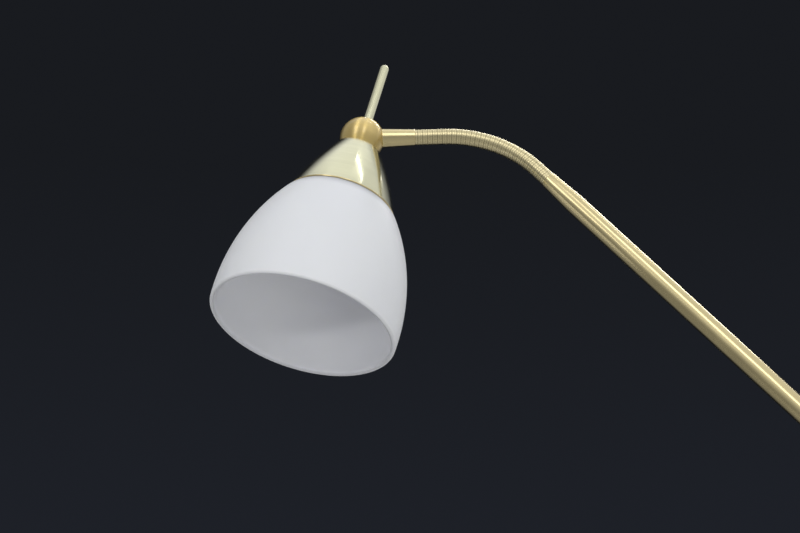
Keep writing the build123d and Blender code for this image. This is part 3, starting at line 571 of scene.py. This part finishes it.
class LAMP_OT_finishes(Operator):
    """Make the lamp's metals, glass, felt, rubber and plastics"""

    bl_idname = "lamp.finishes"
    bl_label = "Finishes"

    def execute(self, context):
        look = context.scene.lamp_finish
        # Brushed: roughness, lengthwise, anisotropy, lacquer, relief. Moulded: roughness, grain scale, depth, speckle
        FINISHES.update(
            drawn=brushed_brass("drawn_satin_brass", look.drawn, 0.19, True, 0.10, look.lacquer, 0.1),
            pale=brushed_brass("pale_drawn_brass", look.satin, 0.26, True, 0.20, look.lacquer, 0.1),
            spun=brushed_brass("spun_satin_brass", look.satin, 0.36, False, 0.80, look.lacquer),
            cup=brushed_brass("spun_polished_brass", look.satin, 0.16, False, 0.50, look.lacquer),
            golden=brushed_brass("turned_polished_brass", look.golden, 0.38, False, 1.0, 1.0),
            bright=plain_metal("bright_brass", look.golden, 0.22, lacquer=0.5),
            milled=plain_metal("milled_satin_brass", look.satin, 0.32, lacquer=look.lacquer),
            ribbed=plain_metal("wound_satin_brass", look.ribbed, 0.24, lacquer=0.3),
            # The liner is the ribbed brass a shade darker: painted shade in the grooves between the ribs
            liner=plain_metal("wound_brass_painted_groove_shade", scaled(look.ribbed, 0.84), 0.24),
            # The groove finish is the ribbed brass much darker: painted shade for the dark lines and balls in every
            # second groove
            groove=plain_metal("wound_brass_painted_line_shade", scaled(look.ribbed, 0.62), 0.28),
            inner=plain_metal("plain_turned_brass", look.inner, 0.36),
            steel=plain_metal("zinc_plated_steel", (0.56, 0.57, 0.58), 0.34),
            opal=opal_glass("opal_satin_glass", look.opal),
            frosted=moulded("frosted_quartz", (0.86, 0.86, 0.84), 0.40, 3000.0, 0.004, 0.02, Transmission_Weight=0.55),
            iron=moulded("cast_iron_grey", (0.055, 0.055, 0.060), 0.62, 900.0, 0.12, 0.20, Metallic=0.6),
            felt=moulded("pressed_felt", (0.030, 0.030, 0.034), 0.95, 2400.0, 0.15, 0.35, Sheen_Weight=0.4),
            rubber=moulded("black_rubber_matt", (0.022, 0.022, 0.024), 0.70, 2200.0, 0.02),
            nylon=moulded("natural_nylon", (0.66, 0.65, 0.58), 0.45, 1500.0, 0.01, 0.04, Subsurface_Weight=0.2),
            plastic=moulded("dark_moulded_plastic", (0.030, 0.030, 0.034), 0.48),
            silicone=moulded("pale_silicone", (0.56, 0.55, 0.52), 0.60, 1500.0, 0.01, 0.05),
            porcelain=moulded("porcelain_unglazed", (0.78, 0.76, 0.71), 0.55, 2500.0, 0.008, 0.03),
        )
        return {"FINISHED"}


# Node trees for what repeats

def new_tree(name, **kinds):
    """A geometry tree with named inputs of each kind; returns the tree, the inputs' sockets and their identifiers."""
    tree = bpy.data.node_groups.new(name, "GeometryNodeTree")
    tree.interface.new_socket("Geometry", in_out="OUTPUT", socket_type="NodeSocketGeometry")
    names = {}
    for kind, titles in {"Geometry": ["Geometry"], **kinds}.items():
        for title in titles:
            socket = tree.interface.new_socket(title, in_out="INPUT", socket_type="NodeSocket" + kind)
            names[title] = socket.identifier
    return tree, tree.nodes.new("NodeGroupInput").outputs, names


def end_tree(tree, geometry, material):
    """Closes a tree with Realize Instances and Set Material."""
    real = tap(tree, "GeometryNodeRealizeInstances", {"Geometry": geometry})
    done = tap(tree, "GeometryNodeSetMaterial", {"Geometry": real, "Material": material})
    add(tree, "NodeGroupOutput", {0: done})


def grown(piece, tree, names, values):
    """Runs a geometry tree on the piece with these inputs and keeps the result as a plain mesh."""
    modifier = piece.modifiers.new(tree.name, "NODES")
    modifier.node_group = tree
    for title, value in values.items():
        modifier[names[title]] = value
    evaluated = piece.evaluated_get(bpy.context.evaluated_depsgraph_get())
    mesh = bpy.data.meshes.new_from_object(evaluated)
    piece.modifiers.remove(modifier)
    old, piece.data = piece.data, mesh
    mesh.name = piece.name
    bpy.data.meshes.remove(old)
    return piece


def rib_tree():
    """Rounded ribs at even steps along a path of edges."""
    tree, given, names = new_tree(
        "Ribs along a neck",
        Float=["First rib", "Pitch", "Seat radius", "Rib height", "Rib width", "Edge rounding"],
        Int=["Ribs"], Material=["Material"],
    )
    path = tap(tree, "GeometryNodeMeshToCurve", {0: given["Geometry"]})
    index = tap(tree, "GeometryNodeInputIndex")
    distance = calc(tree, "ADD", calc(tree, "MULTIPLY", index, given["Pitch"]), given["First rib"])
    at = add(tree, "GeometryNodeSampleCurve", {"Curves": path, "Length": distance}, mode="LENGTH")
    points = tap(tree, "GeometryNodePoints", {"Count": given["Ribs"], "Position": at.outputs["Position"]})
    facing = tap(tree, "FunctionNodeAlignRotationToVector", {"Vector": at.outputs["Tangent"]}, axis="Z")
    rim = tap(tree, "GeometryNodeCurvePrimitiveCircle", {"Resolution": NECK_SIDES, "Radius": given["Seat radius"]})
    both_sides = calc(tree, "MULTIPLY", given["Rib height"], 2.0)
    bar = tap(tree, "GeometryNodeCurvePrimitiveQuadrilateral", {0: both_sides, 1: given["Rib width"]})
    rounded = {"Curve": bar, "Count": ROUNDING_STEPS, "Radius": given["Edge rounding"]}
    section = tap(tree, "GeometryNodeFilletCurve", rounded, mode="POLY")
    ring = tap(tree, "GeometryNodeCurveToMesh", {"Curve": rim, "Profile Curve": section})
    ribs = {"Points": points, "Instance": ring, "Rotation": facing}
    end_tree(tree, tap(tree, "GeometryNodeInstanceOnPoints", ribs), given["Material"])
    return tree, names


def knurl_tree():
    """Fine ridges round a turned knob, along its axis."""
    tree, given, names = new_tree(
        "Knurl round a knob",
        Float=["Radius", "Ridge height", "Ridge length", "Middle"],
        Vector=["Place", "Turn"], Int=["Ridges"], Material=["Material"],
    )
    index = tap(tree, "GeometryNodeInputIndex")
    angle = calc(tree, "MULTIPLY", calc(tree, "DIVIDE", index, given["Ridges"]), 2 * pi)
    x, y = (calc(tree, "MULTIPLY", calc(tree, kind, angle, 0.0), given["Radius"]) for kind in ("COSINE", "SINE"))
    across = tap(tree, "ShaderNodeCombineXYZ", {0: x, 1: y, 2: given["Middle"]})
    points = tap(tree, "GeometryNodePoints", {"Count": given["Ridges"], "Position": across})
    facing = tap(tree, "ShaderNodeCombineXYZ", {2: angle})
    bar = {"Vertices": RIDGE_SIDES, "Radius": given["Ridge height"], "Depth": given["Ridge length"]}
    ridge = tap(tree, "GeometryNodeMeshCylinder", bar, fill_type="TRIANGLE_FAN")
    ring = tap(tree, "GeometryNodeInstanceOnPoints", {"Points": points, "Instance": ridge, "Rotation": facing})
    moved = {"Geometry": ring, "Translation": given["Place"], "Rotation": given["Turn"]}
    placed = tap(tree, "GeometryNodeTransform", moved)
    both = add(tree, "GeometryNodeJoinGeometry", {0: placed})
    tree.links.new(given["Geometry"], both.inputs[0])
    end_tree(tree, both.outputs[0], given["Material"])
    return tree, names


def path_piece(name, start, end):
    """An edge path on the neck's middle line between two distances from the arm's mouth."""
    steps = max(int((end - start) / PATH_STEP), 2)
    points = [neck_point(start + (end - start) * i / steps)[0] for i in range(steps + 1)]
    mesh = bpy.data.meshes.new(name)
    mesh.from_pydata(points, [(i, i + 1) for i in range(steps)], [])
    return new_piece(name, mesh)


def run(start, end, radius, steps=12):
    """Places along the neck's middle line with one radius."""
    return [(start + (end - start) * i / steps, radius) for i in range(steps + 1)]


def swept_tube(name, walk, segments=NECK_SIDES):
    """A tube along the neck's middle line. The walk goes round its closed outline: places along the line, and radii."""
    points, faces = [], []
    for s, radius in walk:
        middle, way = neck_point(s)
        up = way.cross(Vector((0, 1, 0)))
        for j in range(segments):
            a = 2 * pi * j / segments
            points.append(middle + (Vector((0, 1, 0)) * cos(a) + up * sin(a)) * radius)
    for i in range(len(walk)):
        a, b = i * segments, (i + 1) % len(walk) * segments
        faces += [(a + j, a + (j + 1) % segments, b + (j + 1) % segments, b + j) for j in range(segments)]
    return solid(name, points, faces)


# Pieces

class LAMP_OT_shade(Operator):
    """Blow the opal bell and spin the brass cup over its neck"""

    bl_idname = "lamp.shade"
    bl_label = "Shade and cup"

    def execute(self, context):
        size = context.scene.lamp_shade
        mm = SimpleNamespace(**{key: getattr(size, key) / MM for key in size.__annotations__})
        side = mm.mouth - mm.arc
        top = mm.height - mm.shoulder
        reach = mm.arc - mm.shoulder
        end = degrees(asin((top - mm.belly) / reach))
        shoulder = (side + reach * cos(radians(end)), top)

        def wall(inset):
            """The bell's side and shoulder, from the lip upwards."""
            radius = mm.arc - inset
            lip = degrees(asin((mm.wall / 2 - mm.belly) / radius))
            bell = arc((side, mm.belly), radius, lip, end, 48)
            return bell + arc(shoulder, mm.shoulder - inset, end, 90, 12)[1:]

        outer, inner = wall(0), wall(mm.wall)
        lip_middle = ((outer[0][0] + inner[0][0]) / 2, mm.wall / 2)
        lip = arc(lip_middle, mm.wall / 2, 180, 360, 12)[1:-1]
        hole = [(mm.neck_hole, mm.height), (mm.neck_hole, mm.height - mm.wall)]
        # Painted shade in the glass's colour: the cup rim's shadow down the outer side, and the lip's inner side darker
        # towards its bottom
        painted_shades = [self.painted_shadow_factor(mm.cup_rim - h) for _, h in outer] + [1.0] * (len(hole) + len(inner))
        # Painted shade: the lip's inner side gets darker towards its bottom
        for r, h in lip:
            inward = min(max(0.5 + (lip_middle[0] - r) / mm.wall * 2, 0), 1)
            painted_shades.append(1.0 - PAINTED_LIP_SHADE * (1 - h / lip_middle[1]) * inward)
        glass = lathe("shade_bell", outer + hole + inner[::-1] + lip, HEAD_PLACE, SHADE_SIDES, painted_shades=painted_shades)
        dress(glass, "head", "opal_glass", "opal", "shade_glass")

        rim_h, top_h = mm.cup_rim, mm.cup_rim + mm.cup_height
        rim_r = shoulder[0] + sqrt(mm.shoulder ** 2 - (rim_h - shoulder[1]) ** 2) + mm.cup_play
        rim_out = (rim_r + mm.cup_wall, rim_h)
        outside = bow(rim_out, (mm.cup_top, top_h), mm.cup_bulge, 32)
        under = top_h - mm.cup_wall
        inside = bow((rim_r, rim_h), (mm.cup_top - mm.cup_wall, under), mm.cup_bulge, 32)
        top_hole = [(CUP_HOLE_R, top_h), (CUP_HOLE_R, under)]
        cup = lathe("shade_cup", eased(outside + top_hole + inside[::-1], CUP_ROUNDING), HEAD_PLACE, SHADE_SIDES)
        dress(cup, "head", "satin_brass", "cup", "shade_cone")
        bead = arc((rim_out[0] - BEAD_R, rim_h + BEAD_RISE), BEAD_R, 0, 360, 16)[:-1]
        dress(lathe("cup_bead", bead, HEAD_PLACE, SHADE_SIDES), "head", "satin_brass", "drawn")
        return {"FINISHED"}

    def painted_shadow_factor(self, drop):
        """The glass's colour factor under the painted shadow of the cup's rim, at a height below it in millimetres."""
        return 1.0 - PAINTED_RIM_SHADOW * (1 - min(max(drop / PAINTED_RIM_SHADOW_DROP, 0), 1)) ** PAINTED_RIM_SHADOW_FALL


class LAMP_OT_head(Operator):
    """Turn the ball, the handle rod and the ferrule"""

    bl_idname = "lamp.head"
    bl_label = "Ball, handle and ferrule"

    def execute(self, context):
        first = degrees(asin(BALL_FLAT / BALL_R))
        ball = [(0, BALL_HEIGHT + BALL_FLAT)] + arc((0, BALL_HEIGHT), BALL_R, first, 90, 48)
        ball[-1] = (0, ball[-1][1])
        dress(turned("ball", ball, HEAD_PLACE), "head", "polished_brass", "golden", "head_ball")

        tip = HANDLE_SEAT + HANDLE_LENGTH
        shoulder, foot = HANDLE_SEAT - HANDLE_SHOULDER, HANDLE_SEAT - HANDLE_SPIGOT
        dome = arc((0, tip - HANDLE_R), HANDLE_R, 0, 90, 12)
        dome[-1] = (0, tip)
        rod = [(0, foot), (HANDLE_SPIGOT_R, foot), (HANDLE_SPIGOT_R, shoulder), (HANDLE_R, shoulder)] + dome
        dress(lathe("handle", rod, HEAD_PLACE, ROD_SIDES, True), "head", "satin_brass", "pale", "handle_rod")

        seat, end = FERRULE_SEAT, FERRULE_SEAT + FERRULE_LENGTH
        foot, floor = seat - FERRULE_SPIGOT, end - NECK_SPIGOT
        outline = [
            (FERRULE_BORE, foot), (FERRULE_SPIGOT_R, foot), (FERRULE_SPIGOT_R, seat), (FERRULE_ROOT_R, seat),
            (FERRULE_R, end), (NECK_SEAT_R, end), (NECK_SEAT_R, floor), (FERRULE_BORE, floor),
        ]
        ferrule = turned("ferrule", outline, FERRULE_PLACE, TUBE_SIDES, True)
        dress(ferrule, "head", "satin_brass", "drawn", "neck_ferrule")
        return {"FINISHED"}


class LAMP_OT_neck(Operator):
    """Wind the ribbed neck: ribs and dark lines of painted groove shade on each link, and a liner, painted a shade
    darker, that turns on a ball at each joint
    """

    bl_idname = "lamp.neck"
    bl_label = "Ribbed neck"

    def execute(self, context):
        size = context.scene.lamp_neck
        tree, names = rib_tree()
        rib = {
            "Pitch": size.pitch, "First rib": size.pitch / 2, "Seat radius": size.seat, "Rib width": size.width,
            "Rib height": size.crest - size.seat, "Edge rounding": size.rounding, "Material": FINISHES["ribbed"],
        }
        line = {
            "Pitch": 2 * size.pitch, "Seat radius": size.liner - size.fit, "Rib width": size.line,
            "Rib height": 1.5 * size.fit, "Edge rounding": size.fit / 4, "Material": FINISHES["groove"],
        }
        bodies = ["arm", *LINKS, "head"]
        nodes = ["neck_lower_end", *LINKS, "neck_upper_end"]
        start = 0.0
        for body, node in zip(bodies, nodes):
            ribs = size.link_ribs if node in LINKS else size.end_ribs
            end = start + ribs * size.pitch / MM
            piece = grown(path_piece(node + "_ribs", start, end), tree, names, {**rib, "Ribs": ribs})
            smooth(piece.data, sharpest=50)
            dress(piece, body, "ribbed_brass", "ribbed", node)
            # Dark lines of painted shade in every second groove
            odd = round(start / (size.pitch / MM)) % 2
            lines = {**line, "First rib": size.pitch * (2 - odd), "Ribs": (ribs - 1 + odd) // 2}
            piece = grown(path_piece(node + "_lines", start, end), tree, names, lines)
            dress(piece, body, "ribbed_brass", "groove")
            start = end
        self.line_neck(size, bodies)
        return {"FINISHED"}

    def line_neck(self, size, bodies):
        """The liner under the ribs, painted a shade darker: a sleeve on each link, and a ball across each joint, on
        which the next one turns. A ball in every second groove gets the darker painted groove shade, like the lines."""
        for body, low in (("arm", -NECK_SPIGOT), ("head", NECK_LENGTH)):
            high = low + NECK_SPIGOT
            walk = run(low, high, size.spigot) + run(high, low, size.bore)
            dress(swept_tube(f"neck_spigot_{body}", walk), body, "ribbed_brass", "liner")
        half = (size.pitch - size.width) / 2 / MM
        for index, body in enumerate(bodies):
            low = NECK_END_LENGTH + (index - 1) * LINK_LENGTH
            high = low + LINK_LENGTH
            foot = 0.0 if body == "arm" else low + half
            top = NECK_LENGTH if body == "head" else high - half
            walk = run(foot, top, size.liner) + run(top, foot, size.liner - size.fit)
            dress(swept_tube(f"neck_liner_{index:02d}", walk), body, "ribbed_brass", "liner")
            if body != "head":
                radius = size.liner - 3 * size.fit
                reach = [LINER_BALL * (2 * i / BALL_STEPS - 1) for i in range(BALL_STEPS + 1)]
                walk = [(high + x, sqrt(radius**2 - (x * MM) ** 2)) for x in reach]
                walk += run(high + LINER_BALL, high - LINER_BALL, size.bore)
                # Balls in every second groove get the painted groove shade
                finish = "liner" if round(high / (size.pitch / MM)) % 2 else "groove"
                dress(swept_tube(f"neck_ball_{index:02d}", walk), body, "ribbed_brass", finish)


class LAMP_OT_arm(Operator):
    """Draw the arm tube with its tapered mouth, and finish the knuckle and the fork"""

    bl_idname = "lamp.arm"
    bl_label = "Arm and knuckle"

    def execute(self, context):
        outline = [
            (ARM_BORE, ARM_START), (ARM_R, ARM_START), (ARM_R, ARM_TAPER), (ARM_MOUTH_R, ARM_REACH),
            (NECK_SEAT_R, ARM_REACH), (NECK_SEAT_R, ARM_REACH - NECK_SPIGOT), (ARM_BORE, ARM_TAPER),
        ]
        dress(turned("arm", outline, ARM_PLACE, TUBE_SIDES, True), "arm", "satin_brass", "drawn", "arm_tube")
        soften("arm_knuckle", KNUCKLE_EDGE, "arm", "satin_brass", "milled")
        soften("knuckle_fork", FORK_EDGE, "swivel", "satin_brass", "milled")
        for node in ("pivot_screw", "pivot_cap_nut"):
            soften(node, SMALL_EDGE, "swivel", "polished_brass", "bright")
        paint("nylon", "friction_discs", "swivel_washer")
        paint("inner", "swivel_nut")
        return {"FINISHED"}


class LAMP_OT_pole(Operator):
    """Draw the pole's tubes and turn its foot, coupler, dimmer housing and swivel cap"""

    bl_idname = "lamp.pole"
    bl_label = "Pole"

    def execute(self, context):
        sweep = bow((FOOT_R, FOOT_SIDE), (FOOT_TOP_R, FOOT_TOP), FOOT_SWEEP, 32)
        foot = [(FOOT_BORE, POLE_LOW), (FOOT_BORE, FOOT_LOW), (FOOT_R, FOOT_LOW)] + sweep
        foot += [(POLE_R, FOOT_TOP), (POLE_R, POLE_LOW)]
        low, top = COLLAR_LOW - COUPLER_REACH, COLLAR_TOP + COUPLER_REACH
        coupler = [
            (COUPLER_BORE, low), (POLE_BORE, low), (POLE_BORE, COLLAR_LOW), (COLLAR_R, COLLAR_LOW, COLLAR_EDGE),
            (COLLAR_R, COLLAR_TOP, COLLAR_EDGE), (POLE_BORE, COLLAR_TOP), (POLE_BORE, top), (COUPLER_BORE, top),
        ]
        housing = [
            (POLE_R, POLE_TOP), (POLE_R, HOUSING_LOW), (HOUSING_LOW_R, HOUSING_LOW, HOUSING_LOW_EDGE),
            (HOUSING_R, HOUSING_SIDE, HOUSING_EDGE), (HOUSING_R, HOUSING_TOP), (HOUSING_BORE, HOUSING_TOP),
            (HOUSING_BORE, POLE_TOP),
        ]
        cap = [
            (CAP_BORE, CAP_TOP), (HOUSING_R, CAP_TOP, CAP_EDGE), (HOUSING_R, HOUSING_TOP), (HOUSING_BORE, HOUSING_TOP),
            (HOUSING_BORE, CAP_SKIRT), (CAP_SKIRT_BORE, CAP_SKIRT), (CAP_SKIRT_BORE, HOUSING_TOP),
            (CAP_TUBE_R, HOUSING_TOP), (CAP_TUBE_R, CAP_TUBE), (CAP_BORE, CAP_TUBE),
        ]
        shapes = (
            ("foot", foot, "pole_foot", "spun", TURNED_SIDES),
            ("pole_lower", tube_outline(POLE_LOW, COLLAR_LOW), "pole_lower_tube", "drawn", TUBE_SIDES),
            ("coupler", coupler, "pole_coupler", "spun", TUBE_SIDES),
            ("pole_upper", tube_outline(COLLAR_TOP, POLE_TOP), "pole_upper_tube", "drawn", TUBE_SIDES),
            ("housing", housing, "dimmer_housing", "spun", TURNED_SIDES),
            ("cap", cap, "swivel_cap", "spun", TURNED_SIDES),
        )
        for name, outline, node, finish, segments in shapes:
            piece = turned(name, outline, POLE_PLACE, segments, lengthwise=finish == "drawn")
            dress(piece, "stand", "satin_brass", finish, node)
        paint("inner", "pole_foot_plug", "base_nipple")
        return {"FINISHED"}


class LAMP_OT_dimmer(Operator):
    """Turn and knurl the dimmer's knob, and finish what is behind it"""

    bl_idname = "lamp.dimmer"
    bl_label = "Dimmer"

    def execute(self, context):
        size = context.scene.lamp_knob
        radius, back, front = size.radius / MM, size.start / MM, size.end / MM
        body, band = radius - size.ridge / MM, size.margin / MM
        low, high = back + band, front - band
        hollow, dish = back + KNOB_HOLLOW, front - DISH_DEPTH
        outline = [
            (KNOB_HOLLOW_R, back), (radius, back), (radius, low), (body, low + KNOB_STEP), (body, high - KNOB_STEP),
            (radius, high), (radius, front, KNOB_EDGE), (DISH_R, front), (DISH_FLOOR_R, dish), (0.0, dish),
            (0.0, hollow), (KNOB_HOLLOW_R, hollow),
        ]
        knurl = {
            "Ridges": size.ridges, "Radius": body * MM, "Ridge height": size.ridge,
            "Ridge length": size.end - size.start - 2 * size.margin, "Middle": (size.start + size.end) / 2,
            "Place": DIAL_PLACE.to_translation(), "Turn": DIAL_PLACE.to_euler(), "Material": FINISHES["milled"],
        }
        knob = grown(turned("knob", outline, DIAL_PLACE, KNOB_SIDES), *knurl_tree(), knurl)
        dress(knob, "dial", "satin_brass", "milled", "dimmer_knob")
        work = bmesh.new()
        bmesh.ops.create_cube(work, size=1.0)
        bmesh.ops.scale(work, vec=Vector(INDEX_SIZE) * MM, verts=work.verts)
        bmesh.ops.bevel(work, geom=work.edges[:], offset=INDEX_EDGE * MM, segments=2, profile=0.5, affect="EDGES")
        bmesh.ops.translate(work, vec=(0, INDEX_PLACE * MM, size.end - INDEX_SINK * MM), verts=work.verts)
        bmesh.ops.transform(work, matrix=DIAL_PLACE, verts=work.verts)
        dress(worked("knob_index", work), "dial", "dark_plastic", "plastic")
        paint("steel", "dimmer_spindle", "dimmer_nut", "knob_grub_screw")
        paint("plastic", "dimmer_control")
        return {"FINISHED"}


class LAMP_OT_base(Operator):
    """Spin the base's brass cover and finish the weight, the felt and the cord inlet"""

    bl_idname = "lamp.base"
    bl_label = "Base"

    def execute(self, context):
        inner, under, edge_in = BASE_R - BASE_WALL, FOOT_LOW - BASE_WALL, BASE_EDGE - BASE_WALL
        outline = [
            (BASE_R, BASE_LOW), (BASE_R, BASE_SIDE, BASE_EDGE), (FOOT_R, FOOT_LOW), (BASE_HOLE_R, FOOT_LOW),
            (BASE_HOLE_R, under), (FOOT_R, under), (inner, BASE_SIDE - BASE_WALL, edge_in), (inner, BASE_LOW),
        ]
        edge = context.scene.lamp_finish.edge / MM
        cover = lathe("base", eased(outline, edge, steps=8, sharpest=10), POLE_PLACE, BASE_SIDES)
        dress(cover, "stand", "satin_brass", "spun", "base_cover")
        soften("cord_grommet", SMALL_EDGE, "stand", "black_rubber", "rubber")
        paint("iron", "base_weight")
        paint("felt", "base_pad")
        paint("steel", "base_washer", "base_nut")
        return {"FINISHED"}


class LAMP_OT_lampholder(Operator):
    """Finish the sleeve, the ring, the lampholder and the bulb inside the shade"""

    bl_idname = "lamp.lampholder"
    bl_label = "Lampholder and bulb"

    def execute(self, context):
        paint("inner", "shade_sleeve", "shade_ring", "head_nipple", "head_nuts")
        paint("silicone", "shade_gasket")
        paint("steel", "lampholder_bracket", "lampholder_screws", "bulb_pins")
        paint("porcelain", "lampholder")
        paint("frosted", "bulb_envelope")
        return {"FINISHED"}


class LAMP_OT_stage(Operator):
    """Lay the floor, hang the lights and set up the camera"""

    bl_idname = "lamp.stage"
    bl_label = "Floor, light and camera"

    def execute(self, context):
        look = context.scene.lamp_stage
        self.lay_floor(look)
        self.light_world(context.scene, look)
        self.hang_lights()
        self.place_camera(context.scene, look)
        context.scene.view_settings.view_transform = "Standard"
        return {"FINISHED"}

    def lay_floor(self, look):
        work = bmesh.new()
        bmesh.ops.create_circle(work, cap_ends=True, segments=FLOOR_SIDES, radius=FLOOR_R)
        bmesh.ops.translate(work, vec=(0, 0, -FLOOR_DROP), verts=work.verts)
        floor = worked("floor", work)
        floor.data.materials.append(moulded("pale_floor", look.floor, 0.55, 400.0, 0.05, 0.02))

    def light_world(self, scene, look):
        """The room: white walls and a ceiling on the camera's side, dimmer to the sides, and a dark cloth behind, which
        fades out to the right. The camera sees the cloth all round."""
        world = bpy.data.worlds.new("room")
        world.use_nodes = True
        scene.world = world
        tree = world.node_tree
        tree.nodes.clear()
        way = add(tree, "ShaderNodeTexCoord").outputs["Generated"]
        x, y, z = add(tree, "ShaderNodeSeparateXYZ", {0: way}).outputs
        height = graded(tree, z, 0.0, 1.0, -1.0, 1.0)
        turn = calc(tree, "ARCTAN2", x, calc(tree, "MULTIPLY", y, -1.0))
        ahead = levels(tree, height, FRONT_LEVELS)
        ahead = blend(tree, graded(tree, x, 0.0, 1.0, 0.75, 1.15), ahead, levels(tree, height, SIDE_LEVELS))
        ahead = blend(tree, graded(tree, turn, 1.0, 0.0, -0.95, -0.62), ahead, levels(tree, height, LEFT_LEVELS))
        cloth_edge = graded(tree, x, 1.0, 0.25, 0.40, 0.80)
        behind = graded(tree, calc(tree, "ADD", y, graded(tree, z, 0.0, 0.35, 0.0, 0.6)), 0.0, 1.0, 0.50, 0.85)
        behind = calc(tree, "MULTIPLY", behind, cloth_edge)
        white = blend(tree, 1.0, ahead, (*look.room, 1), "MULTIPLY")
        room = blend(tree, behind, white, (*look.backdrop, 1))
        soft = tap(tree, "ShaderNodeBackground", {"Color": room})
        cloth = blend(tree, graded(tree, z, 0.0, 1.0, 0.40, 0.56), (*look.backdrop_low, 1), (*look.backdrop, 1))
        dark = tap(tree, "ShaderNodeBackground", {"Color": cloth})
        seen = add(tree, "ShaderNodeLightPath").outputs["Is Camera Ray"]
        light = tap(tree, "ShaderNodeMixShader", {0: seen, 1: soft, 2: dark})
        add(tree, "ShaderNodeOutputWorld", {0: light})

    def hang_lights(self):
        """Soft boxes and strips: name, place, what it faces, width, height, radiance and turn about its own axis. The
        two low ones lift the inside of the bell, and the brass doesn't mirror them. The left key is there for the
        brass alone."""
        boxes = (
            ("key_left", (-0.95, -1.03, 1.70), (-0.50, 0.0, 1.28), 0.34, 0.80, 1.6, 0),
            ("key_right", (-0.16, -1.10, 1.63), (-0.50, 0.0, 1.28), 0.26, 0.62, 1.6, 0),
            ("low_strip", (-1.10, -0.69, 1.04), (-0.50, 0.0, 1.27), 0.70, 0.07, 8.8, 0),
            ("low_board", (-0.05, -0.65, 0.55), (-0.50, 0.0, 1.30), 0.70, 0.60, 1.15, 0),
            ("tube_near", (0.33, -0.31, 2.80), (0.33, -0.31, 0.0), 0.60, 0.03, 9.0, -21),
            ("tube_far", (0.30, 0.75, 2.80), (0.30, 0.75, 0.0), 1.20, 0.22, 8.0, 0),
        )
        for name, where, target, width, height, radiance, turn in boxes:
            light = bpy.data.lights.new(name, "AREA")
            light.shape = "RECTANGLE"
            light.size, light.size_y = width, height
            light.energy = radiance * pi * width * height
            box = new_piece(name, light)
            box.location = where
            facing = (Vector(target) - Vector(where)).to_track_quat("-Z", "Y").to_matrix()
            box.rotation_euler = (facing @ Matrix.Rotation(radians(turn), 3, "Z")).to_euler()
            box.visible_camera = False
            box.visible_glossy = name not in ("low_strip", "low_board")
            box.visible_diffuse = name != "key_left"

    def place_camera(self, scene, look):
        camera = bpy.data.cameras.new("camera")
        camera.lens = look.lens
        camera.sensor_fit = "HORIZONTAL"
        camera.sensor_width = 36.0
        camera.clip_start = 0.05
        viewer = new_piece("camera", camera)
        viewer.location = CAMERA_PLACE
        viewer.rotation_euler = (pi / 2 + look.pitch, 0, 0)
        scene.camera = viewer


STEPS = (
    LAMP_OT_finishes, LAMP_OT_shade, LAMP_OT_head, LAMP_OT_neck, LAMP_OT_arm, LAMP_OT_pole, LAMP_OT_dimmer,
    LAMP_OT_base, LAMP_OT_lampholder, LAMP_OT_stage,
)
GROUPS = {
    "lamp_shade": ShadeSizes, "lamp_neck": NeckSizes, "lamp_knob": KnobSizes, "lamp_finish": LampFinish,
    "lamp_stage": StageSettings,
}


class LAMP_PT_pieces(Panel):
    """The lamp's pieces and sizes in the sidebar"""

    bl_idname = "LAMP_PT_pieces"
    bl_label = "Floor lamp"
    bl_space_type = "VIEW_3D"
    bl_region_type = "UI"
    bl_category = "Lamp"

    def draw(self, context):
        for step in STEPS:
            self.layout.operator(step.bl_idname)
        for name, group in GROUPS.items():
            box = self.layout.box()
            for key in group.__annotations__:
                box.prop(getattr(context.scene, name), key)


def register():
    for cls in (*GROUPS.values(), *STEPS, LAMP_PT_pieces):
        bpy.utils.register_class(cls)
    for name, group in GROUPS.items():
        setattr(bpy.types.Scene, name, bpy.props.PointerProperty(type=group))


def unregister():
    for name in GROUPS:
        delattr(bpy.types.Scene, name)
    for cls in reversed((*GROUPS.values(), *STEPS, LAMP_PT_pieces)):
        bpy.utils.unregister_class(cls)


def main():
    register()
    for step in STEPS:
        group, name = step.bl_idname.split(".")
        getattr(getattr(bpy.ops, group), name)()


if __name__ == "__main__":
    main()
